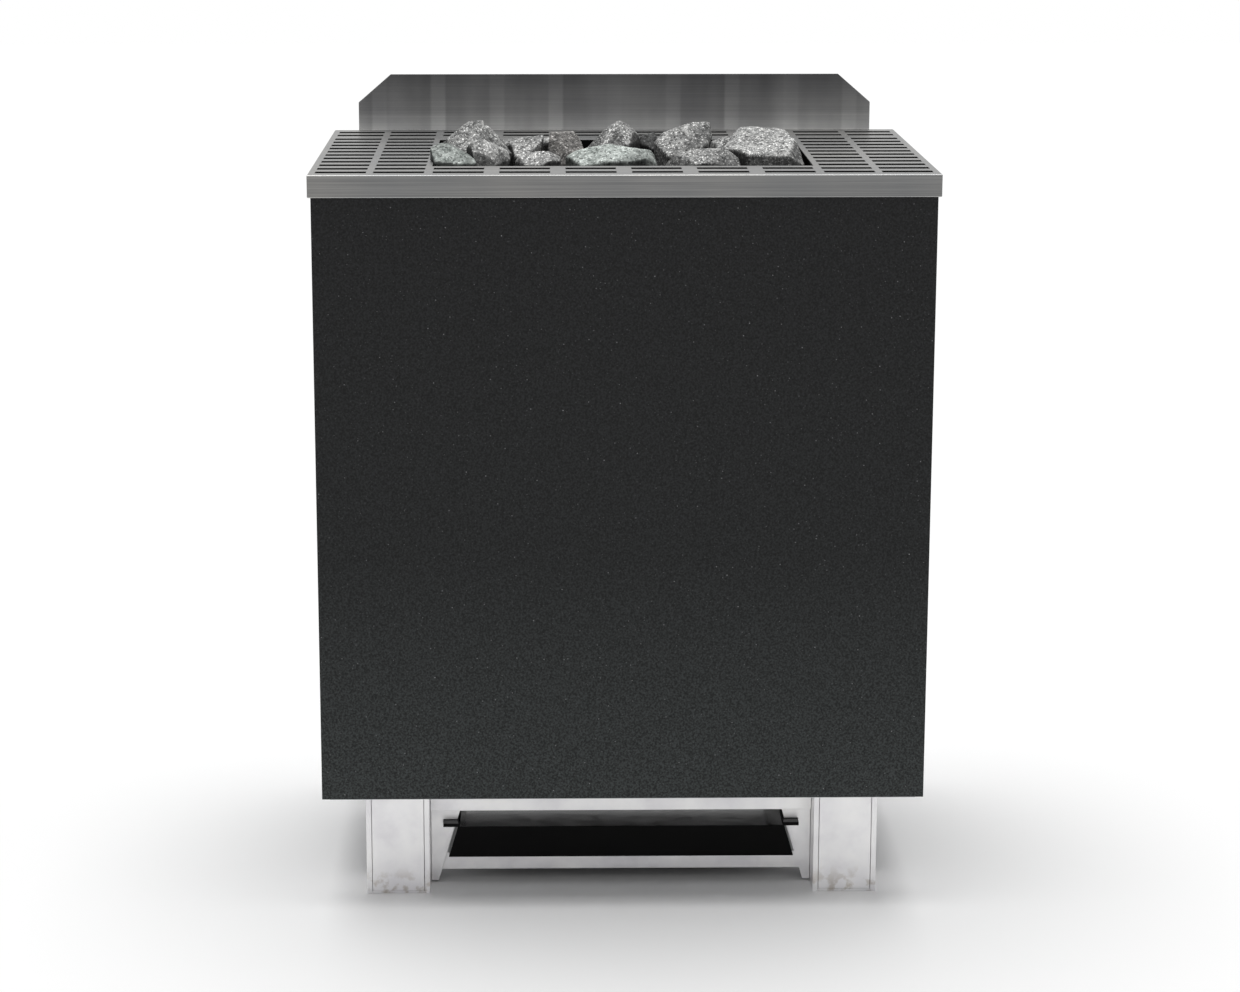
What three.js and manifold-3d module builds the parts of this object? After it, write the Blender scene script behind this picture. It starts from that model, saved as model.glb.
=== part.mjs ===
// Floor-standing electric sauna heater: a painted casing on four sheet-metal feet, a stainless rim with
// a slotted grid round the stone opening, a reflector plate behind it and a drip tray under the base.
// Millimetres, +Z up, +X to the right, the front towards -Y, the origin on the floor under the middle.
import * as THREE from "three";
import { ConvexGeometry } from "three/addons/geometries/ConvexGeometry.js";
import { mergeVertices } from "three/addons/utils/BufferGeometryUtils.js";
import Module from "manifold-3d";

const wasm = await Module();
wasm.setup();

// Clearances
const SEAT = 0.3; // between two pieces that rest on each other
const SEAM = 0.4; // open joint between two sheets set edge to edge
const FIT = 0.3; // round a flange in its slot, and round a tube or thread in its hole
const OVERCUT = 1; // how far a cut runs past the sheet it goes through
const MERGE_DISTANCE = 1e-3; // corners nearer than this are one

// Rim: a stainless pan turned upside down over the casing
const RIM_WIDTH = 500;
const RIM_DEPTH = 335;
const RIM_SKIRT = 18;
const RIM_SHEET = 1.5;
const OPENING_LIP = 9; // sheet turned down round the stone opening

// Slotted grid in the rim
const SLOT_LENGTH = 40;
const SLOT_WIDTH = 11;
const ROW_PITCH = 24;
const FRONT_MARGIN = 20; // front edge to the middle of the first row
const REAR_MARGIN = 21; // rear edge to the middle of the last row
const FRONT_ROWS = 2;
const REAR_ROWS = 2;
const SIDE_COLUMNS = 2;
const SIDE_PITCH = 46;
const SIDE_MARGIN = 5.5; // side edge to the end of the outer slots
const MIDDLE_COLUMNS = 6;
const MIDDLE_INSET = 1.5; // side of the opening to the end of the middle slots
const OPENING_SIDE_BAR = 5.5;
const OPENING_FRONT_BAR = 10.5;
const OPENING_REAR_BAR = 31.5;

// Casing: four folded panels
const CASING_INSET = 2.5; // rim edge to panel face
const CASING_SHEET = 1.2;
const CASING_HEIGHT = 513.2;
const CORNER_RETURN = 18; // front and rear panels turned round the corner
const PANEL_LIP = 10; // inward fold along the other panel edges

// Reflector plate behind the rim
const REFLECTOR_WIDTH = 457;
const REFLECTOR_RISE = 49.5; // over the rim
const REFLECTOR_DROP = 62; // below the top of the rim
const REFLECTOR_SHEET = 1.5;
const REFLECTOR_CHAMFER_ACROSS = 29;
const REFLECTOR_CHAMFER_DOWN = 25;
const REFLECTOR_FIXING_INSET = 75; // plate side to screw
const REFLECTOR_FIXING_DROP = 42; // top of the rim to screw
const SPACER_RADIUS = 8;
const SCREW_RADIUS = 2.5;
const SCREW_HEAD_RADIUS = 5.5;
const SCREW_HEAD_HEIGHT = 3;
const SCREW_CROWN_RADIUS = 4; // flat on top of the head
const SCREW_TAIL = 8; // shank beyond the rear panel's face

// Inner walls that shield the casing from heat
const SHIELD_GAP = 27; // rim edge to wall
const SHIELD_SHEET = 1.2;
const SHIELD_TOP_GAP = 9.5; // rim sheet to the top of the walls
const SHIELD_AIR_GAP = 12; // terminal housing to the front and rear walls

// Stone basket under the opening
const BASKET_DEPTH = 88; // top of the rim to the basket floor
const BASKET_SHEET = 1.2;
const LIP_PLAY = 0.4; // opening lip to basket wall
const GRATE_BAR = 25; // sheet left between the ends of two floor slots
const GRATE_SLOT_WIDTH = 12;
const GRATE_PITCH = 25;
const BASKET_RAIL_LEG = 20;
const BASKET_RAIL_SHEET = 1.5;
const BASKET_RAIL_OVERHANG = 6; // rail edge outside the basket wall

// Heating elements
const TUBE_RADIUS = 4.25;
const LEG_PITCH = 70;
const ELEMENT_SPACING = 55;
const ELEMENT_HEADROOM = 18; // bends to basket floor
const ELEMENT_LOW_BEND = 60; // terminal housing to the lower bend
const ELEMENT_TAIL = 46; // cold ends inside the terminal housing
const ELEMENT_STEPS = 72;
const TUBE_SIDES = 8;

// Terminal housing, block, cover and gland
const HOUSING_HEIGHT = 70;
const HOUSING_SIDE = 40; // outer element legs to housing wall
const HOUSING_SHEET = 1.5;
const BLOCK_POLES = 5;
const BLOCK_POLE_PITCH = 18;
const BLOCK_DEPTH = 28;
const BLOCK_HEIGHT = 26;
const BLOCK_WALL = 3;
const BLOCK_SADDLE = 15; // height of the floor of each pole
const BLOCK_SETBACK = 34; // rear panel to block
const HATCH_WIDTH = 190;
const HATCH_HEIGHT = 44;
const HATCH_RAISE = 16; // casing bottom to hatch
const COVER_MARGIN = 12;
const COVER_SHEET = 1.5;
const GLAND_OFFSET = 62;
const GLAND_BORE = 7;
const GLAND_THREAD_RADIUS = 10;
const GLAND_HEX_RADIUS = 15.5;
const GLAND_HEX_LENGTH = 7;
const GLAND_CAP_RADIUS = 12.5;
const GLAND_CAP_LENGTH = 15;
const GLAND_TAIL = 11;
const GLAND_SIDES = 24;
const NUT_RADIUS = 15;
const NUT_LENGTH = 5;

// Base plate
const BASE_INSET = 6; // panel face to base plate edge
const BASE_SHEET = 2;
const AIR_SLOT_LENGTH = 60;
const AIR_SLOT_WIDTH = 10;
const AIR_SLOT_PITCH = 20;
const AIR_SLOT_STEP = 74;
const AIR_SLOT_MARGIN = 22; // slots to the edge of the plate

// Feet
const FOOT_HEIGHT = 93.4;
const FOOT_WIDTH = 53;
const FOOT_DEPTH = 50;
const FOOT_SHEET = 1.5;
const FOOT_LIP = 4.4;
const FOOT_SIDE_SETBACK = 36; // rim side to foot
const FOOT_END_SETBACK = 40; // rim front or rear to foot
const SOLE_SHEET = 2;
const FLOOR_HOLE_RADIUS = 4.5;

// Rails, brackets and bars of the tray bay
const RAIL_SETBACK = 20; // foot face to rail
const RAIL_HEIGHT = 27.5;
const RAIL_FLANGE = 18;
const RAIL_SHEET = 1.5;
const BRACKET_SETBACK = 26; // foot face to bracket
const BRACKET_SHEET = 2;
const BRACKET_BOTTOM = 2;
const BRACKET_TOE = 6.2; // width at the bottom
const BRACKET_SLANT = 0.297; // growth of the width per millimetre of height
const BAR_HEIGHT = 15;
const BAR_SHEET = 2;

// Drip tray
const TRAY_SETBACK = 16; // foot face to the front wall
const TRAY_BOTTOM = 26.4;
const TRAY_FLANGE_BOTTOM = 53;
const TRAY_FLANGE_THICKNESS = 3;
const TRAY_FLANGE_REACH = 11; // foot wall to flange edge
const TRAY_SHEET = 1.2;
const TRAY_SIDE_PLAY = 1.6;

// Stones
const BED_DEPTH = 58; // lower stones, over the basket floor
const BED_SLAB = 26; // small chips that fill the gaps at the bottom
const BED_PITCH = 46;
const BED_OVERLAP = 1.5;
const BED_SCATTER = 0.3;
const BED_SEED = 5;
const LUMP_POINTS = 20;
const LUMP_JITTER = 0.25;
const LUMP_SQUARENESS = 3.2; // 2 gives a rounded lump, more a squarer one
const LUMP_TAPER = 0.3;
const CORNER_STEP = 1; // one step in the lists of stone corners
const RING_POINTS = 7;
const WAIST_DROP = 14; // rim to the widest part of an upper stone
const WAIST_SHARE = 1.02; // waist against the spread of the corners
const STONE_FOOT_DROP = 53; // rim to the foot of an upper stone
const STONE_FOOT_SHARE = 0.55;

// Heights
const BASE_BOTTOM = FOOT_HEIGHT + SEAT;
const BASE_TOP = BASE_BOTTOM + BASE_SHEET;
const CASING_BOTTOM = BASE_TOP + SEAT;
const CASING_TOP = CASING_BOTTOM + CASING_HEIGHT;
const RIM_UNDERSIDE = CASING_TOP + SEAT;
const RIM_TOP = RIM_UNDERSIDE + RIM_SHEET;
const GRATE_TOP = RIM_TOP - BASKET_DEPTH;
const GRATE_BOTTOM = GRATE_TOP - BASKET_SHEET;
const HOUSING_BOTTOM = BASE_TOP + SEAT;
const HOUSING_TOP = HOUSING_BOTTOM + HOUSING_HEIGHT;

// Places from front to rear: the rim, the rear fittings behind it and the middle of the whole
const REFLECTOR_REACH = SEAT + REFLECTOR_SHEET + SEAT + SCREW_HEAD_HEIGHT;
const GLAND_REACH = SEAT + COVER_SHEET + SEAT + GLAND_HEX_LENGTH + GLAND_CAP_LENGTH - CASING_INSET;
const REAR_REACH = Math.max(REFLECTOR_REACH, GLAND_REACH);
const RIM_FRONT = -(RIM_DEPTH + REAR_REACH) / 2;
const RIM_REAR = RIM_FRONT + RIM_DEPTH;
const RIM_MIDDLE = (RIM_FRONT + RIM_REAR) / 2;
const CASING_FRONT = RIM_FRONT + CASING_INSET;
const CASING_REAR = RIM_REAR - CASING_INSET;
const CASING_SIDE = RIM_WIDTH / 2 - CASING_INSET;
const REFLECTOR_FRONT = RIM_REAR + SEAT;

// Stone opening in the rim
const OPENING_SIDE = RIM_WIDTH / 2 - SIDE_MARGIN - (SIDE_COLUMNS - 1) * SIDE_PITCH - SLOT_LENGTH
  - OPENING_SIDE_BAR;
const FRONT_ROWS_END = FRONT_MARGIN + (FRONT_ROWS - 1) * ROW_PITCH + SLOT_WIDTH / 2;
const REAR_ROWS_END = REAR_MARGIN + (REAR_ROWS - 1) * ROW_PITCH + SLOT_WIDTH / 2;
const OPENING_FRONT = RIM_FRONT + FRONT_ROWS_END + OPENING_FRONT_BAR;
const OPENING_REAR = RIM_REAR - REAR_ROWS_END - OPENING_REAR_BAR;
const OPENING_MIDDLE = (OPENING_FRONT + OPENING_REAR) / 2;
const BASKET_INSIDE = RIM_SHEET + LIP_PLAY; // opening edge to the inner face of the basket
const BASKET_SIDE = OPENING_SIDE + BASKET_INSIDE + BASKET_SHEET;
const BASKET_FRONT = OPENING_FRONT - BASKET_INSIDE - BASKET_SHEET;
const BASKET_REAR = OPENING_REAR + BASKET_INSIDE + BASKET_SHEET;

// Feet and tray bay
const FOOT_OUTER = RIM_WIDTH / 2 - FOOT_SIDE_SETBACK;
const FOOT_INNER = FOOT_OUTER - FOOT_WIDTH;
const FOOT_FACE = RIM_DEPTH / 2 - FOOT_END_SETBACK; // from the middle of the rim
const BAY_SIDE = FOOT_INNER - SEAT;

const FINISH = {
  paint: { color: 0x2b2c2e, roughness: 0.6, metalness: 0.2 },
  stainless: { color: 0xa9a9a6, roughness: 0.35, metalness: 1 },
  galvanised: { color: 0xc8cbd1, roughness: 0.45, metalness: 0.9 },
  enamel: { color: 0x0b0b0c, roughness: 0.15, metalness: 0 },
  heaterSteel: { color: 0x6d6a66, roughness: 0.5, metalness: 0.9 },
  ceramic: { color: 0xe4e0d4, roughness: 0.4, metalness: 0 },
  polyamide: { color: 0x3a3c3f, roughness: 0.5, metalness: 0 },
  greyStone: { color: 0x8b8d8a, roughness: 0.9, metalness: 0 },
  greenStone: { color: 0x8fa394, roughness: 0.9, metalness: 0 },
  brownStone: { color: 0x84776d, roughness: 0.9, metalness: 0 },
  darkStone: { color: 0x5c5e5d, roughness: 0.9, metalness: 0 },
};

const heater = new THREE.Group();

function part(name, geometry, finish, parent = heater) {
  const mesh = new THREE.Mesh(geometry, new THREE.MeshStandardMaterial(finish));
  mesh.name = name;
  parent.add(mesh);
  return mesh;
}

// Joining and cutting
function toSolid(geometry) {
  const bare = geometry.clone();
  bare.deleteAttribute("normal");
  bare.deleteAttribute("uv");
  const merged = mergeVertices(bare, MERGE_DISTANCE);
  return new wasm.Manifold(new wasm.Mesh({
    numProp: 3,
    vertProperties: new Float32Array(merged.attributes.position.array),
    triVerts: new Uint32Array(merged.index.array),
  }));
}

function toGeometry(solid) {
  const { vertProperties, triVerts } = solid.getMesh();
  const geometry = new THREE.BufferGeometry();
  geometry.setAttribute("position", new THREE.BufferAttribute(vertProperties, 3));
  geometry.setIndex(new THREE.BufferAttribute(triVerts, 1));
  return geometry;
}

function joined(pieces) {
  return pieces.map(toSolid).reduce((whole, next) => whole.add(next));
}

function join(...pieces) {
  return toGeometry(joined(pieces));
}

function cut(blank, ...tools) {
  return toGeometry(toSolid(blank).subtract(joined(tools)));
}

// Blanks
function block([x0, y0, z0], [x1, y1, z1]) {
  const geometry = new THREE.BoxGeometry(x1 - x0, y1 - y0, z1 - z0);
  return geometry.translate((x0 + x1) / 2, (y0 + y1) / 2, (z0 + z1) / 2);
}

function outline(points) {
  return new THREE.Shape(points.map(([x, y]) => new THREE.Vector2(x, y)));
}

// A plan outline (x, y) carried up from one height to another
function post(points, bottom, top) {
  const options = { depth: top - bottom, bevelEnabled: false };
  return new THREE.ExtrudeGeometry(outline(points), options).translate(0, 0, bottom);
}

// A front outline (x, z) of a sheet that lies between two depths
function uprightSheet(points, front, rear) {
  const options = { depth: rear - front, bevelEnabled: false };
  return new THREE.ExtrudeGeometry(outline(points), options).rotateX(Math.PI / 2).translate(0, rear, 0);
}

// A side outline (y, z) carried across from one side to the other
function crossBar(points, side) {
  const options = { depth: 2 * side, bevelEnabled: false };
  return new THREE.ExtrudeGeometry(outline(points), options)
    .rotateX(Math.PI / 2)
    .rotateZ(Math.PI / 2)
    .translate(-side, 0, 0);
}

// A round bar along Y, wide enough that its flats lie at the radius
const HOLE_SIDES = 16;
function holeAlongY(radius, x, z, front, rear) {
  const corner = radius / Math.cos(Math.PI / HOLE_SIDES);
  const geometry = new THREE.CylinderGeometry(corner, corner, rear - front, HOLE_SIDES);
  return geometry.translate(x, (front + rear) / 2, z);
}

function holeAlongZ(radius, x, y, bottom, top) {
  const corner = radius / Math.cos(Math.PI / HOLE_SIDES);
  const geometry = new THREE.CylinderGeometry(corner, corner, top - bottom, HOLE_SIDES);
  return geometry.rotateX(Math.PI / 2).translate(x, y, (bottom + top) / 2);
}

// A turned piece about the Y axis from a profile of (radius, y)
function turned(profile, sides) {
  return new THREE.LatheGeometry(profile.map(([r, y]) => new THREE.Vector2(r, y)), sides);
}

const SIDES = [[-1, "left"], [1, "right"]];
const ENDS = [[0, "front"], [Math.PI, "rear"]];

// Base plate: a flat sheet with rows of air slots in front of the terminal housing
{
  const side = CASING_SIDE - BASE_INSET;
  const front = CASING_FRONT + BASE_INSET;
  const rear = CASING_REAR - BASE_INSET;
  const plate = block([-side, front, BASE_BOTTOM], [side, rear, BASE_TOP]);
  const clearSide = FOOT_INNER - AIR_SLOT_MARGIN - AIR_SLOT_LENGTH / 2;
  const columns = Math.max(1, Math.floor(clearSide / AIR_SLOT_STEP));
  const frontRows = [front + AIR_SLOT_MARGIN, front + AIR_SLOT_MARGIN + AIR_SLOT_PITCH];
  const slots = [];
  for (const y of frontRows) {
    for (let column = -columns; column <= columns; column += 1) {
      const x = column * AIR_SLOT_STEP;
      const low = [x - AIR_SLOT_LENGTH / 2, y - AIR_SLOT_WIDTH / 2, BASE_BOTTOM - OVERCUT];
      const high = [x + AIR_SLOT_LENGTH / 2, y + AIR_SLOT_WIDTH / 2, BASE_TOP + OVERCUT];
      slots.push(block(low, high));
    }
  }
  part("base_plate", cut(plate, ...slots), FINISH.galvanised);
}

// Feet: a channel open to the outside of the heater, with narrow lips, a sole and a plate between the lips
function footChannel() {
  const w = FOOT_WIDTH / 2;
  const inner = w - FOOT_SHEET;
  const lip = w - FOOT_LIP;
  const back = FOOT_DEPTH - FOOT_SHEET;
  const section = [
    [-lip, 0], [-w, 0], [-w, FOOT_DEPTH], [w, FOOT_DEPTH], [w, 0], [lip, 0],
    [lip, FOOT_SHEET], [inner, FOOT_SHEET], [inner, back], [-inner, back], [-inner, FOOT_SHEET],
    [-lip, FOOT_SHEET],
  ];
  const channel = post(section, 0, FOOT_HEIGHT);
  const soleSide = inner + FOOT_SHEET / 2;
  const soleFront = FOOT_SHEET / 2;
  const sole = block([-soleSide, soleFront, 0], [soleSide, back + soleFront, SOLE_SHEET]);
  const bolt = holeAlongZ(FLOOR_HOLE_RADIUS, 0, FOOT_DEPTH / 2, -OVERCUT, SOLE_SHEET + OVERCUT);
  return cut(join(channel, sole), bolt);
}

function footPlate() {
  const face = FOOT_WIDTH / 2 - FOOT_LIP - SEAM;
  const back = FOOT_WIDTH / 2 - FOOT_SHEET - SEAT;
  const step = FOOT_SHEET + SEAT;
  const section = [
    [-face, 0], [face, 0], [face, step], [back, step], [back, step + FOOT_SHEET],
    [-back, step + FOOT_SHEET], [-back, step], [-face, step],
  ];
  return post(section, SOLE_SHEET + SEAT, FOOT_HEIGHT);
}

for (const [turn, end] of ENDS) {
  const pair = new THREE.Group();
  pair.position.y = RIM_MIDDLE;
  pair.rotation.z = turn;
  heater.add(pair);
  for (const [side, label] of SIDES) {
    const foot = new THREE.Group();
    foot.position.set(side * (FOOT_INNER + FOOT_WIDTH / 2), -FOOT_FACE, 0);
    pair.add(foot);
    const seen = turn === 0 ? label : SIDES.find(([other]) => other === -side)[1];
    part(`foot_${end}_${seen}`, footChannel(), FINISH.galvanised, foot);
    part(`foot_plate_${end}_${seen}`, footPlate(), FINISH.galvanised, foot);
  }
}

// Tray bay: an angle rail between the feet, two slanted brackets with a slot, and a flat bar under the tray
const RAIL_FACE = -FOOT_FACE + RAIL_SETBACK;
const BRACKET_FACE = -FOOT_FACE + BRACKET_SETBACK;
const RAIL_TOP = FOOT_HEIGHT;
const BRACKET_TOP = RAIL_TOP - RAIL_SHEET - SEAT;
const SLOT_END = FOOT_INNER - TRAY_FLANGE_REACH + FIT;

// Distance from the middle to the slanted edge of a bracket at a height
function bracketEdge(z) {
  return BAY_SIDE - BRACKET_TOE - BRACKET_SLANT * (z - BRACKET_BOTTOM);
}

function bayRail() {
  const flange = RAIL_FACE + RAIL_FLANGE;
  const web = RAIL_FACE + RAIL_SHEET;
  const section = [
    [RAIL_FACE, RAIL_TOP - RAIL_HEIGHT], [web, RAIL_TOP - RAIL_HEIGHT], [web, RAIL_TOP - RAIL_SHEET],
    [flange, RAIL_TOP - RAIL_SHEET], [flange, RAIL_TOP], [RAIL_FACE, RAIL_TOP],
  ];
  return crossBar(section, BAY_SIDE);
}

function trayBracket(side) {
  const slotBottom = TRAY_FLANGE_BOTTOM - FIT;
  const slotTop = TRAY_FLANGE_BOTTOM + TRAY_FLANGE_THICKNESS + FIT;
  const points = [
    [BAY_SIDE, BRACKET_BOTTOM], [BAY_SIDE, BRACKET_TOP], [bracketEdge(BRACKET_TOP), BRACKET_TOP],
    [bracketEdge(slotTop), slotTop], [SLOT_END, slotTop], [SLOT_END, slotBottom],
    [bracketEdge(slotBottom), slotBottom], [bracketEdge(BRACKET_BOTTOM), BRACKET_BOTTOM],
  ];
  const seen = points.map(([x, z]) => [side * x, z]);
  return uprightSheet(seen, BRACKET_FACE, BRACKET_FACE + BRACKET_SHEET);
}

function trayBar() {
  const face = BRACKET_FACE + BRACKET_SHEET + SEAT;
  const top = TRAY_BOTTOM - SEAT;
  return block([-BAY_SIDE, face, top - BAR_HEIGHT], [BAY_SIDE, face + BAR_SHEET, top]);
}

for (const [turn, end] of ENDS) {
  const bay = new THREE.Group();
  bay.position.y = RIM_MIDDLE;
  bay.rotation.z = turn;
  heater.add(bay);
  part(`base_rail_${end}`, bayRail(), FINISH.galvanised, bay);
  part(`tray_bar_${end}`, trayBar(), FINISH.galvanised, bay);
  for (const [side, label] of SIDES) {
    const seen = turn === 0 ? label : SIDES.find(([other]) => other === -side)[1];
    part(`tray_bracket_${end}_${seen}`, trayBracket(side), FINISH.galvanised, bay);
  }
}

// Drip tray: a pan as slanted as the brackets, with side flanges that run in the brackets' slots
{
  const end = FOOT_FACE - TRAY_SETBACK;
  const reach = SLOT_END - FIT;
  const rim = TRAY_FLANGE_BOTTOM + TRAY_FLANGE_THICKNESS;
  const floor = TRAY_BOTTOM + TRAY_SHEET;
  const outer = (z) => bracketEdge(z) - TRAY_SIDE_PLAY;
  const inner = (z) => outer(z) - TRAY_SHEET;
  const rightHalf = [
    [outer(TRAY_BOTTOM), TRAY_BOTTOM], [outer(TRAY_FLANGE_BOTTOM), TRAY_FLANGE_BOTTOM],
    [reach, TRAY_FLANGE_BOTTOM], [reach, rim], [inner(rim), rim], [inner(floor), floor],
  ];
  const leftHalf = rightHalf.map(([x, z]) => [-x, z]).reverse();
  const trough = uprightSheet([...rightHalf, ...leftHalf], -end, end);
  const wall = [
    [outer(TRAY_BOTTOM), TRAY_BOTTOM], [outer(TRAY_FLANGE_BOTTOM), TRAY_FLANGE_BOTTOM],
    [-outer(TRAY_FLANGE_BOTTOM), TRAY_FLANGE_BOTTOM], [-outer(TRAY_BOTTOM), TRAY_BOTTOM],
  ];
  const frontWall = uprightSheet(wall, -end, -end + TRAY_SHEET);
  const rearWall = uprightSheet(wall, end - TRAY_SHEET, end);
  const tray = part("drip_tray", join(trough, frontWall, rearWall), FINISH.enamel);
  tray.position.y = RIM_MIDDLE;
}

// Casing panels: a face with its sides and its upper and lower edges folded back
function foldedPanel(width, sideFold) {
  const w = width / 2;
  const inner = w - CASING_SHEET;
  const blank = block([-w, 0, CASING_BOTTOM], [w, sideFold, CASING_TOP]);
  const pocketLow = [-inner, CASING_SHEET, CASING_BOTTOM + CASING_SHEET];
  const pocket = block(pocketLow, [inner, sideFold + OVERCUT, CASING_TOP - CASING_SHEET]);
  const pastLipsLow = [-inner, PANEL_LIP, CASING_BOTTOM - OVERCUT];
  const pastLips = block(pastLipsLow, [inner, sideFold + PANEL_LIP, CASING_TOP + OVERCUT]);
  return cut(blank, pocket, pastLips);
}

{
  const front = part("front_panel", foldedPanel(2 * CASING_SIDE, CORNER_RETURN), FINISH.paint);
  front.position.y = CASING_FRONT;
}

{
  const width = CASING_REAR - CASING_FRONT - 2 * (CORNER_RETURN + SEAM);
  for (const [side, label] of SIDES) {
    const panel = part(`side_panel_${label}`, foldedPanel(width, PANEL_LIP), FINISH.paint);
    panel.position.set(side * CASING_SIDE, (CASING_FRONT + CASING_REAR) / 2, 0);
    panel.rotation.z = side * Math.PI / 2;
  }
}

// Rear panel with the terminal hatch and the two reflector screw holes
const HATCH_BOTTOM = CASING_BOTTOM + HATCH_RAISE;
const HATCH_TOP = HATCH_BOTTOM + HATCH_HEIGHT;
const FIXING_X = REFLECTOR_WIDTH / 2 - REFLECTOR_FIXING_INSET;
const FIXING_Z = RIM_TOP - REFLECTOR_FIXING_DROP;
{
  const hatchSide = HATCH_WIDTH / 2;
  const behind = CASING_SHEET + OVERCUT;
  const hatch = block([-hatchSide, -OVERCUT, HATCH_BOTTOM], [hatchSide, behind, HATCH_TOP]);
  const holes = SIDES.map(([side]) => {
    return holeAlongY(SCREW_RADIUS + FIT, side * FIXING_X, FIXING_Z, -OVERCUT, behind);
  });
  const blank = foldedPanel(2 * CASING_SIDE, CORNER_RETURN);
  const rear = part("rear_panel", cut(blank, hatch, ...holes), FINISH.galvanised);
  rear.position.y = CASING_REAR;
  rear.rotation.z = Math.PI;
}

// Rim: top sheet with the grid and the opening, skirts all round and a lip round the opening
function slotRows() {
  const lastRear = RIM_REAR - REAR_MARGIN;
  const firstRear = lastRear - (REAR_ROWS - 1) * ROW_PITCH;
  const rows = [];
  for (let y = RIM_FRONT + FRONT_MARGIN; y <= firstRear - ROW_PITCH; y += ROW_PITCH) {
    rows.push(y);
  }
  for (let row = 0; row < REAR_ROWS; row += 1) {
    rows.push(firstRear + row * ROW_PITCH);
  }
  return rows;
}

function gridSlots() {
  const rows = slotRows();
  const slots = [];
  const slot = (x, y) => {
    const low = [x - SLOT_LENGTH / 2, y - SLOT_WIDTH / 2, RIM_UNDERSIDE - OVERCUT];
    slots.push(block(low, [x + SLOT_LENGTH / 2, y + SLOT_WIDTH / 2, RIM_TOP + OVERCUT]));
  };
  const outerColumn = RIM_WIDTH / 2 - SIDE_MARGIN - SLOT_LENGTH / 2;
  for (const y of rows) {
    for (let column = 0; column < SIDE_COLUMNS; column += 1) {
      slot(-outerColumn + column * SIDE_PITCH, y);
      slot(outerColumn - column * SIDE_PITCH, y);
    }
  }
  const outerMiddle = OPENING_SIDE - MIDDLE_INSET - SLOT_LENGTH / 2;
  const middlePitch = 2 * outerMiddle / (MIDDLE_COLUMNS - 1);
  for (const y of [...rows.slice(0, FRONT_ROWS), ...rows.slice(-REAR_ROWS)]) {
    for (let column = 0; column < MIDDLE_COLUMNS; column += 1) {
      slot(-outerMiddle + column * middlePitch, y);
    }
  }
  return slots;
}

{
  const side = RIM_WIDTH / 2;
  const lower = RIM_TOP - RIM_SKIRT;
  const blank = block([-side, RIM_FRONT, lower], [side, RIM_REAR, RIM_TOP]);
  const underLow = [-side + RIM_SHEET, RIM_FRONT + RIM_SHEET, lower - OVERCUT];
  const under = block(underLow, [side - RIM_SHEET, RIM_REAR - RIM_SHEET, RIM_UNDERSIDE]);
  const lipSide = OPENING_SIDE + RIM_SHEET;
  const lipLow = [-lipSide, OPENING_FRONT - RIM_SHEET, RIM_UNDERSIDE - OPENING_LIP];
  const lip = block(lipLow, [lipSide, OPENING_REAR + RIM_SHEET, RIM_TOP]);
  const openingLow = [-OPENING_SIDE, OPENING_FRONT, lower - OVERCUT];
  const opening = block(openingLow, [OPENING_SIDE, OPENING_REAR, RIM_TOP + OVERCUT]);
  const pan = cut(blank, under, ...gridSlots());
  part("top_rim", cut(join(pan, lip), opening), FINISH.stainless);
}

// Reflector: a flat plate with cut corners, stood off the rear panel by two spacers and screwed to it
{
  const half = REFLECTOR_WIDTH / 2;
  const top = RIM_TOP + REFLECTOR_RISE;
  const bottom = RIM_TOP - REFLECTOR_DROP;
  const shoulder = top - REFLECTOR_CHAMFER_DOWN;
  const neck = half - REFLECTOR_CHAMFER_ACROSS;
  const points = [
    [-half, bottom], [half, bottom], [half, shoulder], [neck, top], [-neck, top], [-half, shoulder],
  ];
  const rear = REFLECTOR_FRONT + REFLECTOR_SHEET;
  const plate = uprightSheet(points, REFLECTOR_FRONT, rear);
  const holes = SIDES.map(([side]) => {
    const x = side * FIXING_X;
    return holeAlongY(SCREW_RADIUS + FIT, x, FIXING_Z, REFLECTOR_FRONT - OVERCUT, rear + OVERCUT);
  });
  part("reflector", cut(plate, ...holes), FINISH.stainless);

  const spacerFront = CASING_REAR + SEAT;
  const spacerRear = REFLECTOR_FRONT - SEAT;
  const bore = (SCREW_RADIUS + FIT) / Math.cos(Math.PI / HOLE_SIDES);
  const spacer = [
    [bore, spacerFront], [SPACER_RADIUS, spacerFront], [SPACER_RADIUS, spacerRear], [bore, spacerRear],
    [bore, spacerFront],
  ];
  const underHead = rear + SEAT;
  const tip = CASING_REAR - SCREW_TAIL;
  const screw = [
    [0, tip], [SCREW_RADIUS, tip], [SCREW_RADIUS, underHead], [SCREW_HEAD_RADIUS, underHead],
    [SCREW_HEAD_RADIUS, underHead + SCREW_HEAD_HEIGHT / 2],
    [SCREW_CROWN_RADIUS, underHead + SCREW_HEAD_HEIGHT], [0, underHead + SCREW_HEAD_HEIGHT],
  ];
  for (const [side, label] of SIDES) {
    const spacerRing = part(`reflector_spacer_${label}`, turned(spacer, HOLE_SIDES), FINISH.stainless);
    spacerRing.position.set(side * FIXING_X, 0, FIXING_Z);
    const screwBody = part(`reflector_screw_${label}`, turned(screw, HOLE_SIDES), FINISH.stainless);
    screwBody.position.set(side * FIXING_X, 0, FIXING_Z);
  }
}

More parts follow.
